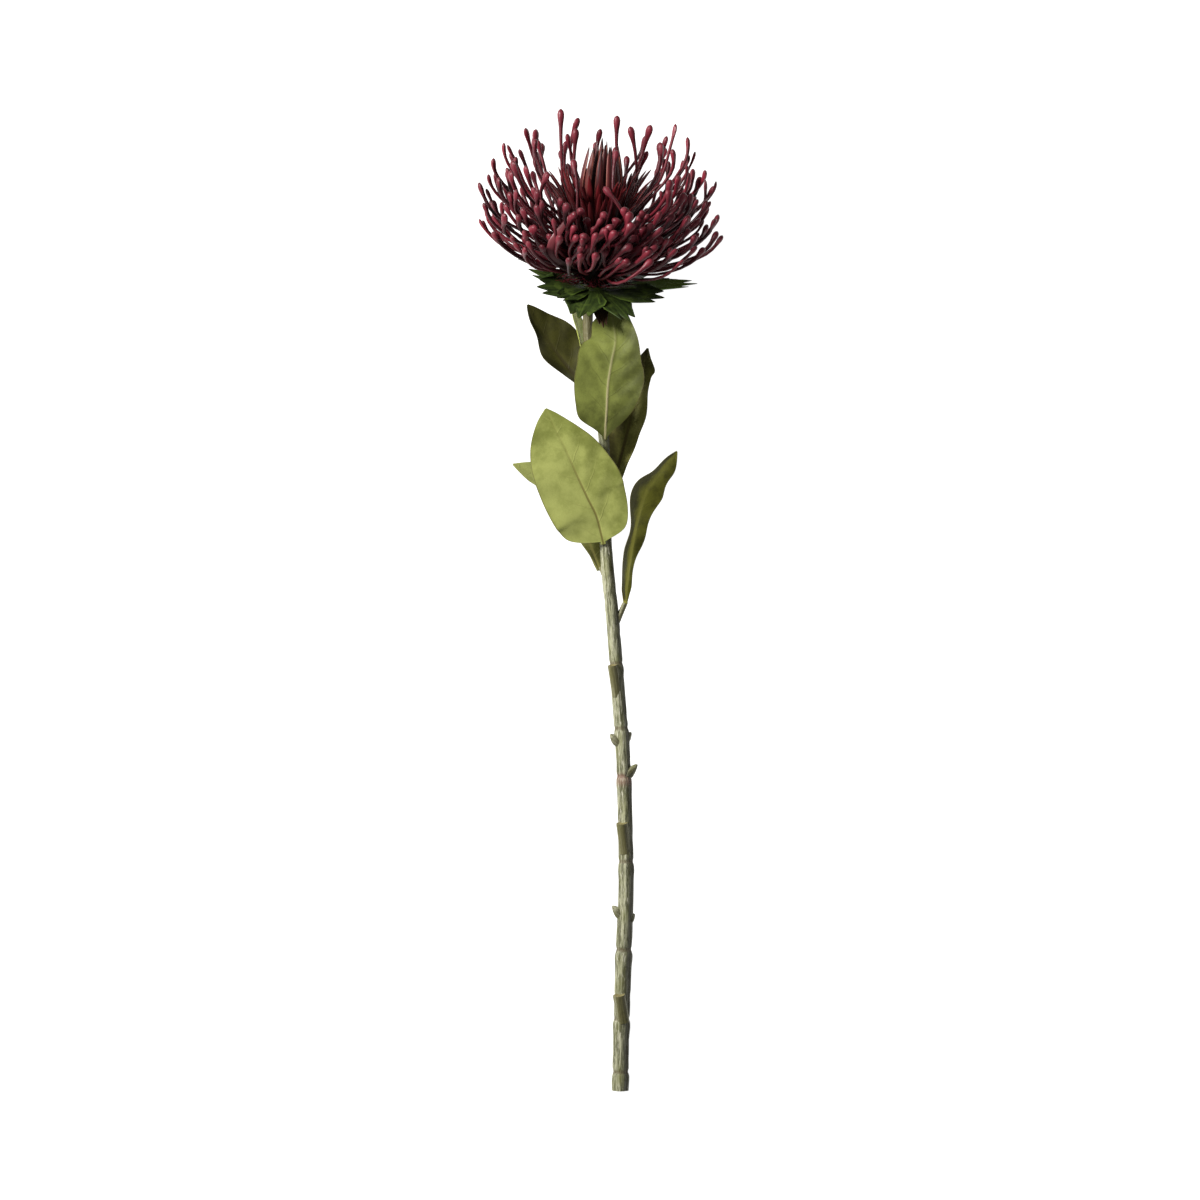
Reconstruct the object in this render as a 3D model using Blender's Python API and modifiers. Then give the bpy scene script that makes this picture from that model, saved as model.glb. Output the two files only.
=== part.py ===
"""A cut pincushion protea that lies on a table: woody stem, leaves, toothed bracts, clubbed pins and florets.

The flower is drawn in its own growing frame: X to its right, +Y up the stem from the cut end, +Z towards the
sky when it lies down. The empty "flower" lays that frame on the table. The empty "flower_head" turns the head
on it, with the head's own +Z along the axis of the bloom and its -Y on the side that faces the sky.
Sizes are in millimetres and become metres through MM.
"""

import math

import bmesh
import bpy
import numpy as np
from mathutils import Euler, Vector

MM = 0.001
GOLDEN_ANGLE = math.pi * (3.0 - math.sqrt(5.0))

# How the flower lies
CUT_END = Vector((10.3, -282.4, 4.65)) * MM
LYING_ANGLE = math.radians(5.1)
HEAD_BASE = np.array((-14.4, 467.5, 0.0))
HEAD_LEAN = math.radians(3.5)
HEAD_NOD = math.radians(17.0)

# Gap that pieces keep where they touch
TOUCHING_GAP = 0.3

# Stem: growing height, offset right, offset to the sky, diameter
STEM_COURSE = (
    (0.0, 0.0, 0.0, 9.5),
    (30.0, 0.6, 0.0, 9.3),
    (78.0, 2.0, 0.0, 9.4),
    (120.0, 3.5, 0.0, 8.9),
    (162.0, 2.9, 0.0, 8.6),
    (197.0, 1.7, 0.0, 8.3),
    (231.0, -0.9, 0.0, 7.9),
    (273.0, -4.1, 0.0, 7.6),
    (308.0, -7.5, 0.0, 7.4),
    (343.0, -9.3, 0.0, 6.8),
    (378.0, -9.2, -0.2, 6.4),
    (401.0, -13.3, -0.8, 6.2),
    (437.0, -18.2, -2.4, 5.8),
    (454.0, -18.3, -2.6, 6.0),
)
STEM_SIDES = 12
STEM_RING_STEP = 13.0
STEM_RIDGE = 0.055
STEM_JOINTS = (11.0, 41.8, 82.0, 133.0, 182.7, 210.5, 248.0, 330.0)
JOINT_GROOVE = 0.07
JOINT_GROOVE_SPREAD = 1.3
JOINT_SWELL = 0.09
JOINT_SWELL_SPREAD = 4.0
JOINT_SWELL_BELOW = 4.5
JOINT_RINGS = (-4.5, -1.5, 0.0, 1.6)
JOINT_ROOM = 5.0
CLOSEST_RINGS = 1.2

# Cut side twigs and petiole stubs: root, tip, root radius, tip radius
STEM_STUBS = (
    ((2.0, 40.0, 2.0), (-0.6, 56.0, 6.0), 3.6, 3.5),
    ((3.0, 138.0, 1.5), (1.0, 155.5, 5.6), 3.3, 3.3),
    ((-1.5, 229.0, 1.0), (-4.4, 247.0, 5.0), 3.0, 2.7),
    ((-3.6, 268.0, 0.0), (3.0, 283.0, 0.0), 2.0, 1.5),
    ((-9.0, 300.0, -1.0), (-11.0, 304.0, -1.6), 2.0, 1.4),
)
GROWTH_SIDES = 7

# Buds: root and tip
STEM_BUDS = (
    ((2.5, 100.0, 0.0), (-4.6, 107.3, 1.0)),
    ((3.5, 98.0, 0.0), (8.6, 102.5, -0.5)),
    ((2.0, 181.0, 0.5), (10.1, 189.5, 1.0)),
    ((0.5, 201.0, 0.5), (-5.8, 206.8, 1.2)),
    ((0.8, 202.0, 0.0), (6.6, 208.0, -1.0)),
)
BUD_RADIUS = 3.1
BUD_STATIONS = (0.0, 0.4, 0.75, 1.0)
BUD_SHAPE = (0.9, 1.0, 0.62, 0.15)

# Leaves
LEAF_THICKNESS = 0.7
FOOT_THICKNESS = 1.9
RIB_THICKNESS = 1.15
LEAF_STEPS_ALONG = 14
LEAF_STEPS_ACROSS = 4
LEAF_FOOT_SHARE = 0.1
LEAF_RIB_SHARE = 0.3
LEAF_RIB_FADE = 0.6
LEAF_SIDE_PHASE = 1.3
PALE_LEAVES = ("leaf_2", "leaf_3", "leaf_4", "leaf_6")

# Each leaf: its rib from foot to tip; its widths as (share of the rib, left, right); its turn about the rib
# in degrees at foot and tip; how far its edges rise for their width; its edge's waves (height, count, phase)
LEAVES = {
    "leaf_1": {
        "rib": ((-17.0, 404.5, -4.6), (-25.0, 414.0, -9.0), (-35.5, 427.0, -12.0), (-45.0, 441.0, -12.5),
                (-53.9, 457.0, -10.0)),
        "widths": ((0.0, 1.3, 1.3), (0.12, 2.5, 6.0), (0.3, 4.8, 14.0), (0.5, 9.3, 18.0), (0.7, 5.0, 15.0),
                   (0.85, 3.8, 8.4), (0.95, 1.9, 3.4), (1.0, 0.5, 0.5)),
        "turn": (10.0, 26.0), "cup": 0.10, "wave": (1.2, 3.0, 0.6)},
    "leaf_2": {
        "rib": ((-21.6, 428.0, -2.6), (-24.2, 441.0, -7.5), (-27.5, 455.0, -14.0), (-32.0, 468.0, -22.0)),
        "widths": ((0.0, 1.2, 1.2), (0.2, 2.6, 5.0), (0.45, 4.0, 9.0), (0.7, 4.5, 8.0), (0.9, 2.2, 3.4),
                   (1.0, 0.5, 0.5)),
        "turn": (68.0, 72.0), "cup": 0.08, "wave": (0.5, 2.0, 0.0)},
    "leaf_3": {
        "rib": ((-8.8, 379.5, 4.6), (-7.8, 393.8, 8.5), (-7.0, 409.0, 10.8), (-5.0, 422.0, 11.6),
                (-2.6, 435.0, 10.8), (-4.4, 448.0, 9.0), (-7.0, 456.0, 8.0)),
        "widths": ((0.0, 1.4, 1.4), (0.05, 6.0, 4.5), (0.13, 15.5, 10.5), (0.25, 18.3, 17.0),
                   (0.4, 19.7, 20.2), (0.5, 19.4, 20.0), (0.62, 19.4, 16.6), (0.76, 14.2, 12.2),
                   (0.88, 12.0, 9.0), (0.96, 6.0, 5.0), (1.0, 0.6, 0.6)),
        "turn": (0.0, -4.0), "cup": 0.10, "wave": (0.9, 2.5, 1.4)},
    "leaf_4": {
        "rib": ((-10.0, 318.6, 5.2), (-13.6, 332.9, 9.0), (-18.6, 343.2, 11.5), (-24.6, 356.0, 14.0),
                (-31.3, 371.0, 17.0), (-38.0, 384.5, 19.0), (-42.9, 395.0, 20.0)),
        "widths": ((0.0, 1.5, 1.5), (0.035, 14.0, 10.5), (0.08, 20.5, 15.5), (0.17, 23.6, 18.8),
                   (0.3, 24.6, 22.5), (0.45, 24.6, 23.0), (0.65, 22.8, 19.0), (0.8, 18.0, 12.5),
                   (0.93, 8.6, 5.5), (1.0, 0.6, 0.6)),
        "turn": (4.0, -6.0), "cup": 0.08, "wave": (0.8, 2.5, 0.2)},
    "leaf_5": {
        "rib": ((-5.2, 346.0, -3.2), (-1.0, 362.0, -8.0), (5.0, 385.0, -12.0), (11.0, 408.0, -12.0),
                (16.2, 431.5, -8.0)),
        "widths": ((0.0, 1.3, 1.3), (0.12, 5.0, 4.0), (0.25, 8.0, 5.6), (0.4, 10.0, 7.4), (0.52, 11.0, 9.2),
                   (0.64, 11.0, 8.0), (0.74, 9.5, 6.6), (0.82, 7.5, 6.0), (0.87, 6.2, 7.4), (0.94, 3.5, 3.6),
                   (1.0, 0.5, 0.5)),
        "turn": (-12.0, -18.0), "cup": 0.22, "wave": (1.3, 4.0, 0.9)},
    "leaf_6": {
        "rib": ((-12.4, 303.5, -3.2), (-18.0, 318.0, -9.0), (-30.0, 338.0, -14.0), (-46.0, 355.0, -14.0),
                (-62.3, 364.0, -10.0)),
        "widths": ((0.0, 1.3, 1.3), (0.15, 3.6, 8.0), (0.3, 5.2, 12.0), (0.5, 6.2, 14.0), (0.7, 5.4, 12.0),
                   (0.85, 5.2, 7.5), (0.95, 2.6, 3.2), (1.0, 0.5, 0.5)),
        "turn": (20.0, 30.0), "cup": 0.10, "wave": (1.0, 3.0, 2.0)},
    "leaf_7": {
        "rib": ((3.25, 283.95, 0.0), (3.5, 294.0, 1.2), (6.0, 312.0, 2.6), (9.8, 331.0, 4.0),
                (14.5, 346.5, 5.0), (22.0, 357.5, 5.0), (33.0, 371.0, 3.0)),
        "widths": ((0.0, 1.1, 1.1), (0.04, 2.6, 2.2), (0.1, 5.6, 3.8), (0.2, 7.8, 4.1), (0.3, 7.0, 4.4),
                   (0.42, 5.8, 7.4), (0.55, 9.5, 8.6), (0.7, 12.8, 10.2), (0.8, 8.0, 8.4), (0.9, 5.0, 7.2),
                   (1.0, 0.5, 0.5)),
        "turn": (48.0, 40.0), "cup": 0.30, "wave": (1.2, 3.0, 0.0)},
}

# Ruff of bracts: azimuth, reach, half width, the angle at which it rises from the head's base plane, and its
# roll about its own length
BRACTS = (
    (-104.0, 36.0, 12.0, -18.0, 0.0), (-78.0, 34.5, 4.5, -27.0, 0.0), (-56.0, 40.5, 9.5, -16.0, -8.0),
    (-28.0, 46.0, 10.0, 6.0, -34.0), (-5.0, 60.0, 5.5, 9.0, -32.0), (18.0, 50.0, 9.0, 9.0, 0.0),
    (46.0, 46.0, 9.5, 8.0, 0.0), (77.0, 45.0, 9.5, 8.0, 0.0), (108.0, 45.0, 9.0, 8.0, 0.0),
    (138.0, 46.0, 8.5, 9.0, 0.0), (164.0, 52.0, 5.5, 17.0, 0.0), (-172.0, 42.0, 8.0, 20.0, 44.0),
    (-150.0, 39.0, 9.5, 7.0, 52.0), (-132.0, 32.0, 7.0, 2.0, 30.0),
)
BRACT_TEETH = (0.66, 0.92, 0.82, 1.0, 0.82, 0.94, 0.66)
BRACT_THICKNESS = 0.7
BRACT_STEPS_ALONG = 3
BRACT_OUTLINE = ((0.0, 0.25), (0.2, 0.6), (0.45, 1.0), (0.75, 1.0), (1.0, 0.7))
BRACT_CUP = 0.16
BRACT_TIP_DROOP = 1.5
BRACT_LAYER = 1.5
RUFF_ROOT = 4.6
RUFF_HEIGHT = -1.3
RUFF_DISC_RADIUS = 7.0
RUFF_DISC_THICKNESS = 2.8
RUFF_DISC_TOP = -0.6

# Receptacle that the pins grow from
CORE_RADIUS = 17.0
CORE_HALF_HEIGHT = 18.0
CORE_MIDDLE = 17.7

# Pins
PIN_COUNT = 140
PIN_SIDES = 4
PIN_CROWDING = 1.25
PIN_ROOT_LATITUDE = (-24.0, 36.0)
PIN_ROOT_SUNK = 3.0
PIN_START_TILT = (-6.0, 64.0)
PIN_END_TILT = (52.0, 92.0)
TIP_DOME_RADIUS = 69.0
TIP_DOME_MIDDLE = 38.0
TIP_DOME_RISE = (-0.1, 0.77)
PIN_PULL = 0.4
PIN_CONE_GAP = 2.4

# Pins on the side that faces the sky: how much they crowd there, how much less their tips rise and their roots
# tilt at the lowest and the highest tier, how much shorter their reach is, how far they swing aside; and the
# shorter far side
SKY_GATHER = 0.32
SKY_LESS_RISE = (0.1, 0.45)
SKY_LESS_START = (0.0, 35.0)
SKY_SHORTER = 0.23
SKY_SWING = 0.16
FAR_SHORTER = 0.05

# Scatter of the pins
PIN_SEED = 31
PIN_AZIMUTH_SPREAD = 0.09
PIN_STRETCH_SPREAD = 0.05
PIN_BEND_SPREAD = 0.15
PIN_DROOP_SPREAD = 5.1

# Radius along a pin by share of its length: thread, swelling neck, club and blunt end
PIN_PROFILE = ((0.0, 0.9), (0.5, 0.75), (0.76, 0.9), (0.88, 1.45), (0.95, 1.7), (1.0, 1.0))
CLUB_FLATNESS = 0.85
CLUB_FLAT_FROM = (0.84, 0.92)
PRESS_BAND = 3.0
PRESS_CLEARANCE = 0.2
PIN_STATIONS = (0.0, 0.32, 0.6, 0.82, 0.94, 1.0)
STRAY_STATIONS = (0.0, 0.2, 0.38, 0.54, 0.7, 0.86, 0.92, 0.965, 1.0)

# Stray pins by points of the growing frame: two curl out in front, four stand tall behind the cone, and three
# stand up in front of it
STRAY_PINS = (
    ((-14.0, 474.0, 9.0), (-9.0, 470.5, 26.0), (-5.0, 466.0, 40.0), (1.0, 465.5, 49.0), (10.0, 470.5, 54.0),
     (18.5, 478.0, 56.0)),
    ((-6.0, 474.0, 8.0), (2.0, 472.0, 28.0), (9.0, 475.0, 42.0), (11.5, 484.0, 48.0), (7.0, 497.0, 49.0)),
    ((-17.0, 490.0, 7.0), (-27.0, 503.0, 9.0), (-32.5, 521.0, 12.0), (-34.0, 545.0, 16.0),
     (-34.2, 568.0, 18.0)),
    ((-10.0, 492.0, -1.0), (-5.0, 508.0, -8.0), (-1.0, 528.0, -6.0), (-2.0, 548.0, -2.0),
     (-1.7, 566.0, 2.0)),
    ((-5.0, 490.0, 2.0), (4.0, 506.0, -3.0), (9.5, 524.0, 0.0), (9.0, 543.0, 4.0), (5.8, 559.0, 8.0)),
    ((-19.0, 490.0, 2.0), (-25.0, 508.0, -3.0), (-27.0, 530.0, 0.0), (-25.5, 558.0, 6.0)),
    ((-18.0, 487.0, 14.0), (-23.0, 492.0, 30.0), (-24.5, 504.0, 37.0), (-24.5, 520.0, 39.0),
     (-27.0, 537.0, 37.0)),
    ((-6.0, 484.0, 16.0), (3.0, 485.0, 32.0), (6.5, 494.0, 42.0), (0.0, 508.0, 45.0), (-9.5, 520.5, 43.0)),
    ((-10.0, 492.0, 16.0), (-8.0, 499.0, 32.0), (-4.5, 513.0, 40.0), (-4.0, 528.0, 41.0), (-2.0, 542.0, 38.0)),
)

# Red lobes that lean out round the middle
LOBE_COUNT = 20
LOBE_LENGTH = 43.0
LOBE_WIDTH = 4.0
LOBE_THICKNESS = 1.5
LOBE_ROOT_LATITUDE = 40.0
LOBE_TILT = (72.0, 46.0)
LOBE_ROOT_SUNK = (2.0, 1.5)
LOBE_CONE_GAP = 1.6
LOBE_SIDES = 4
LOBE_STATIONS = (0.0, 0.3, 0.6, 0.85, 1.0)
LOBE_WIDE_SHAPE = (0.7, 1.0, 1.0, 0.75, 0.12)
LOBE_THICK_SHAPE = (1.0, 1.0, 0.9, 0.8, 0.4)
LOBE_SEED = 5
LOBE_AZIMUTH_SPREAD = 0.04
LOBE_TILT_SPREAD = 5.0
LOBE_LENGTH_SPREAD = 0.08

# Cone of closed florets: count, root radius, widest radius, tip radius, length
FLORET_RINGS = ((11, 6.6, 11.6, 8.4, 44.0), (7, 3.9, 7.0, 4.8, 46.0), (3, 1.5, 2.6, 1.8, 48.0))
FLORET_WIDTH = 4.2
FLORET_THICKNESS = 2.0
FLORET_SIDES = 4
FLORET_STATIONS = (0.0, 0.25, 0.55, 0.82, 1.0)
FLORET_WIDE_SHAPE = (0.75, 0.9, 1.0, 0.8, 0.12)
FLORET_THICK_SHAPE = (1.0, 1.0, 1.0, 0.8, 0.3)
FLORET_SEED = 11
FLORET_SPREAD = 0.03

# Disc that the florets stand on: radius, bottom, top; and how deep they are set in it
FLORET_DISC = (8.3, 36.0, 38.4)
FLORET_SET_IN = 1.4

# Room that the cone keeps free of pins and lobes: height over the head's base, radius
CONE_ROOM = ((28.0, 9.2), (36.0, 10.2), (43.0, 12.4), (51.0, 14.4), (60.0, 15.0), (88.0, 15.0))


def start_clean():
    """Removes what the scene holds before the model is made."""
    for thing in list(bpy.data.objects):
        bpy.data.objects.remove(thing)


def new_collection(name):
    """A collection of that name under the scene."""
    made = bpy.data.collections.new(name)
    bpy.context.scene.collection.children.link(made)
    return made


def linear(hex_colour):
    """A screen colour such as 5e1f2b as the linear red, green, blue and alpha of a shader."""
    parts = [int(hex_colour[k:k + 2], 16) / 255.0 for k in (0, 2, 4)]
    return [c / 12.92 if c <= 0.04045 else ((c + 0.055) / 1.055) ** 2.4 for c in parts] + [1.0]


def plant_material(name, hex_colour, roughness):
    """A plain plant surface of one colour."""
    made = bpy.data.materials.new(name)
    made.use_nodes = True
    shader = made.node_tree.nodes["Principled BSDF"]
    shader.inputs["Base Color"].default_value = linear(hex_colour)
    shader.inputs["Roughness"].default_value = roughness
    shader.inputs["Metallic"].default_value = 0.0
    return made


def smooth_through(points, shares):
    """A Catmull-Rom curve through the points, read at shares of its length; extra columns ride along."""
    p = np.asarray(points, dtype=float)
    p = np.vstack([2 * p[0] - p[1], p, 2 * p[-1] - p[-2]])
    spans = len(p) - 3
    t = np.linspace(0.0, spans, 40 * spans + 1)
    i = np.minimum(t.astype(int), spans - 1)
    f = (t - i)[:, None]
    a, b, c, d = p[i], p[i + 1], p[i + 2], p[i + 3]
    square = 2 * a - 5 * b + 4 * c - d
    cube = 3 * b - a - 3 * c + d
    curve = 0.5 * (2 * b + (c - a) * f + square * f**2 + cube * f**3)
    run = np.concatenate([[0.0], np.cumsum(np.linalg.norm(np.diff(curve[:, :3], axis=0), axis=1))])
    return np.column_stack([np.interp(np.asarray(shares) * run[-1], run, column) for column in curve.T])


def unit(vectors):
    """The rows scaled to length one."""
    return vectors / np.linalg.norm(vectors, axis=-1, keepdims=True)


def section_frame(path, wide_hint):
    """Tangent, wide and thick directions along a path; the wide one stays as near the hint as it can."""
    tangent = unit(np.gradient(path, axis=0))
    hint = np.broadcast_to(wide_hint, path.shape)
    wide = unit(hint - np.sum(hint * tangent, axis=1, keepdims=True) * tangent)
    return tangent, wide, np.cross(wide, tangent)


def section_corners(half_wide, half_thick, sides):
    """Wide and thick offsets of a section's corners: a polygon with the area of the oval it stands for."""
    turn = (np.arange(sides) + 0.5) * 2 * math.pi / sides
    grow = math.sqrt(2 * math.pi / (sides * math.sin(2 * math.pi / sides)))
    return np.outer(half_wide * grow, np.cos(turn)), np.outer(half_thick * grow, np.sin(turn))


def lofted_mesh(name, path, wide, thick, half_wide, half_thick, sides):
    """A closed loft: an oval of so many sides round each point of the path, and a flat face on both ends."""
    across, up = section_corners(half_wide, half_thick, sides)
    rings = path[:, None] + wide[:, None] * across[:, :, None] + thick[:, None] * up[:, :, None]
    return ring_mesh(name, rings)


def ring_mesh(name, rings):
    """A mesh that joins rings of equal count in order and closes both ends, with its faces pointing out."""
    count, sides, _ = rings.shape
    faces = []
    for i in range(count - 1):
        for k in range(sides):
            a = i * sides + k
            b = i * sides + (k + 1) % sides
            faces.append((a, b, b + sides, a + sides))
    faces.append(tuple(reversed(range(sides))))
    faces.append(tuple(range((count - 1) * sides, count * sides)))
    mesh = bpy.data.meshes.new(name)
    mesh.from_pydata((rings.reshape(-1, 3) * MM).tolist(), [], faces)
    face_out(mesh)
    return mesh


def face_out(mesh):
    """Turns the faces of a closed mesh outwards."""
    work = bmesh.new()
    work.from_mesh(mesh)
    bmesh.ops.recalc_face_normals(work, faces=work.faces)
    work.to_mesh(mesh)
    work.free()


def add_object(name, mesh, collection, parent, material=None):
    """A mesh object under its parent empty."""
    made = bpy.data.objects.new(name, mesh)
    made.parent = parent
    collection.objects.link(made)
    if material:
        mesh.materials.append(material)
    return made


def fuse(target, pieces, solver):
    """Joins the pieces to the target in one union, then removes them and their collection."""
    modifier = target.modifiers.new("joined", "BOOLEAN")
    modifier.operation = "UNION"
    modifier.operand_type = "COLLECTION"
    modifier.collection = pieces
    modifier.solver = solver
    bpy.context.view_layer.update()
    evaluated = target.evaluated_get(bpy.context.evaluated_depsgraph_get())
    joined = bpy.data.meshes.new_from_object(evaluated)
    target.modifiers.clear()
    target.data = joined
    for piece in list(pieces.objects):
        bpy.data.objects.remove(piece)
    bpy.data.collections.remove(pieces)


def stem_heights():
    """Ring heights up the stem: evenly spaced, and closer round each growth joint."""
    top = STEM_COURSE[-1][0]
    even = list(np.arange(0.0, top, STEM_RING_STEP))
    close = [joint + offset for joint in STEM_JOINTS for offset in JOINT_RINGS]
    kept = []
    for height in sorted(close + even):
        crowded = any(abs(height - other) < CLOSEST_RINGS for other in kept)
        near_joint = any(abs(height - joint) < JOINT_ROOM for joint in STEM_JOINTS)
        if not crowded and (height in close or not near_joint):
            kept.append(height)
    return np.array(kept)


def stem_swelling(heights):
    """How much the girth grows below each joint and shrinks in its groove, as a share of the radius."""
    share = np.zeros(len(heights))
    for joint in STEM_JOINTS:
        above = heights - joint
        share += JOINT_SWELL * np.exp(-(((above + JOINT_SWELL_BELOW) / JOINT_SWELL_SPREAD) ** 2))
        share -= JOINT_GROOVE * np.exp(-((above / JOINT_GROOVE_SPREAD) ** 2))
    return share


def stem_ridges(heights, turn):
    """Long ridges of the bark as a share of the radius: two sets of waves that wind slowly round the stem."""
    up, around = np.meshgrid(heights, turn, indexing="ij")
    broad = 0.6 * np.cos(3 * around + 1.1 + 0.004 * up)
    narrow = 0.5 * np.cos(5 * around - 0.4 - 0.006 * up)
    return STEM_RIDGE * (broad + narrow)


def head_axis():
    """The bloom's axis in the growing frame."""
    turn = Euler((HEAD_NOD - math.pi / 2, 0.0, -HEAD_LEAN)).to_matrix()
    return np.array(turn @ Vector((0.0, 0.0, 1.0)))


def make_stem(collection, parent, material):
    """The stem's ridged, jointed rod with its buds and cut stubs joined on."""
    course = np.array(STEM_COURSE)
    dense = smooth_through(course[:, [1, 0, 2, 3]], np.linspace(0, 1, 400))
    heights = stem_heights()
    path = np.column_stack([np.interp(heights, dense[:, 1], dense[:, k]) for k in (0, 1, 2)])
    radius = np.interp(heights, dense[:, 1], dense[:, 3]) / 2 * (1 + stem_swelling(heights))
    neck_top = HEAD_BASE + head_axis() * (RUFF_DISC_TOP - RUFF_DISC_THICKNESS - TOUCHING_GAP)
    path = np.vstack([path, neck_top])
    radius = np.append(radius, course[-1, 3] / 2)
    heights = np.append(heights, neck_top[1])
    tangent, wide, thick = section_frame(path, np.array((1.0, 0.0, 0.0)))
    wide[-1] = unit(np.cross(head_axis(), np.array((0.0, 0.0, 1.0))))
    thick[-1] = np.cross(wide[-1], head_axis())
    turn = (np.arange(STEM_SIDES) + 0.5) * 2 * math.pi / STEM_SIDES
    reach = radius[:, None] * (1 + stem_ridges(heights, turn))
    rings = (
        path[:, None]
        + wide[:, None] * (reach * np.cos(turn))[:, :, None]
        + thick[:, None] * (reach * np.sin(turn))[:, :, None]
    )
    stem = add_object("stem", ring_mesh("stem", rings), collection, parent, material)
    growths = new_collection("stem_growths")
    for number, (root, tip, root_radius, tip_radius) in enumerate(STEM_STUBS):
        path = smooth_through((root, tip), (0.0, 0.5, 1.0))
        radii = np.linspace(root_radius, tip_radius, 3)
        add_growth(f"stub_{number}", path, radii, GROWTH_SIDES, growths, parent)
    for number, (root, tip) in enumerate(STEM_BUDS):
        path = smooth_through((root, tip), BUD_STATIONS)
        radii = BUD_RADIUS * np.array(BUD_SHAPE)
        add_growth(f"bud_{number}", path, radii, GROWTH_SIDES, growths, parent)
    fuse(stem, growths, "EXACT")


def add_growth(name, path, radii, sides, collection, parent):
    """One round growth on the stem, rooted inside it."""
    _, wide, thick = section_frame(path, np.array((0.3, 0.0, 1.0)))
    mesh = lofted_mesh(name, path, wide, thick, radii, radii, sides)
    add_object(name, mesh, collection, parent)


def leaf_surface(leaf, along, across):
    """Points of a leaf's middle surface: out from the rib by the widths, edges raised and waved.

    The grid along runs 0 to 1 from foot to tip, and the grid across -1 to 1 from left edge to right edge.
    """
    shares = along[:, 0]
    rib = smooth_through(leaf["rib"], shares)
    tangent = unit(np.gradient(rib, axis=0))
    right = unit(np.cross(tangent, np.array((0.0, 0.0, 1.0))))
    face = np.cross(right, tangent)
    turn = np.radians(np.interp(shares, (0.0, 1.0), leaf["turn"]))[:, None]
    side = right * np.cos(turn) - face * np.sin(turn)
    normal = face * np.cos(turn) + right * np.sin(turn)
    dense = smooth_through(leaf["widths"], np.linspace(0, 1, 300))
    left_width = np.interp(shares, dense[:, 0], dense[:, 1])[:, None]
    right_width = np.interp(shares, dense[:, 0], dense[:, 2])[:, None]
    width = np.where(across < 0, left_width, right_width)
    height, count, phase = leaf["wave"]
    turns = 2 * math.pi * count * along + phase + LEAF_SIDE_PHASE * np.sign(across)
    wave = height * np.sin(turns) * np.abs(across) ** 1.5
    wave = wave * np.sin(math.pi * np.clip(along, 0.0, 1.0)) ** 0.5
    lift = leaf["cup"] * width * across**2 + wave
    return rib[:, None] + side[:, None] * (width * across)[:, :, None] + normal[:, None] * lift[:, :, None]


def leaf_thickness(along, across):
    """Thickness of a leaf: a round foot, a proud rib that thins towards the tip, and a thin blade."""
    foot = np.clip(1 - along / LEAF_FOOT_SHARE, 0, 1)
    rib = np.clip(1 - np.abs(across) / LEAF_RIB_SHARE, 0, 1) * (1 - LEAF_RIB_FADE * along)
    blade = LEAF_THICKNESS + (RIB_THICKNESS - LEAF_THICKNESS) * rib
    return blade + (FOOT_THICKNESS - blade) * foot


def grid_object(name, points, thickness, collection, parent, material):
    """A sheet from a grid of points, split into triangles and given the thickness of each point."""
    rows, columns, _ = points.shape
    work = bmesh.new()
    bmesh.ops.create_grid(work, x_segments=rows - 1, y_segments=columns - 1, size=1.0)
    work.verts.ensure_lookup_table()
    corners = [(round(vert.co.x, 4), round(vert.co.y, 4), vert.index) for vert in work.verts]
    order = [index for _, _, index in sorted(corners)]
    flat = points.reshape(-1, 3) * MM
    for place, k in enumerate(order):
        work.verts[k].co = Vector(flat[place])
    bmesh.ops.triangulate(work, faces=work.faces)
    mesh = bpy.data.meshes.new(name)
    work.to_mesh(mesh)
    work.free()
    made = add_object(name, mesh, collection, parent, material)
    weights = made.vertex_groups.new(name="thickness")
    thickest = float(thickness.max())
    for place, k in enumerate(order):
        weights.add([k], float(thickness.reshape(-1)[place]) / thickest, "REPLACE")
    wall = made.modifiers.new("wall", "SOLIDIFY")
    wall.thickness = thickest * MM
    wall.offset = 0.0
    wall.vertex_group = weights.name
    return made


def make_leaf(name, collection, parent, material):
    """One leaf as a thin waved blade with its foot near the stem."""
    along, across = np.meshgrid(
        np.linspace(0, 1, LEAF_STEPS_ALONG + 1), np.linspace(-1, 1, LEAF_STEPS_ACROSS + 1), indexing="ij")
    points = leaf_surface(LEAVES[name], along, across)
    grid_object(name, points, leaf_thickness(along, across), collection, parent, material)


def bract_surface(azimuth, reach, half_width, lift, roll, lower, along, across):
    """Points of one bract: out along its azimuth at its lift, rolled, its far edge cut into three teeth."""
    teeth = np.interp(across, np.linspace(-1, 1, len(BRACT_TEETH)), BRACT_TEETH)
    outward = RUFF_ROOT + (reach * (1 + (teeth - 1) * along**2) - RUFF_ROOT) * along
    width = half_width * np.interp(along, *zip(*BRACT_OUTLINE))
    height = RUFF_HEIGHT - lower + math.sin(lift) * (outward - RUFF_ROOT)
    outward = RUFF_ROOT + math.cos(lift) * (outward - RUFF_ROOT)
    height = height + BRACT_CUP * width * across**2 * along - BRACT_TIP_DROOP * along**3
    height = height - width * across * np.sin(roll * along)
    aside = width * across * np.cos(roll * along)
    radial = np.array((math.cos(azimuth), math.sin(azimuth), 0.0))
    sideways = np.array((-math.sin(azimuth), math.cos(azimuth), 0.0))
    axis = np.array((0.0, 0.0, 1.0))
    return (
        outward[:, :, None] * radial + aside[:, :, None] * sideways + height[:, :, None] * axis
    )


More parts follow.
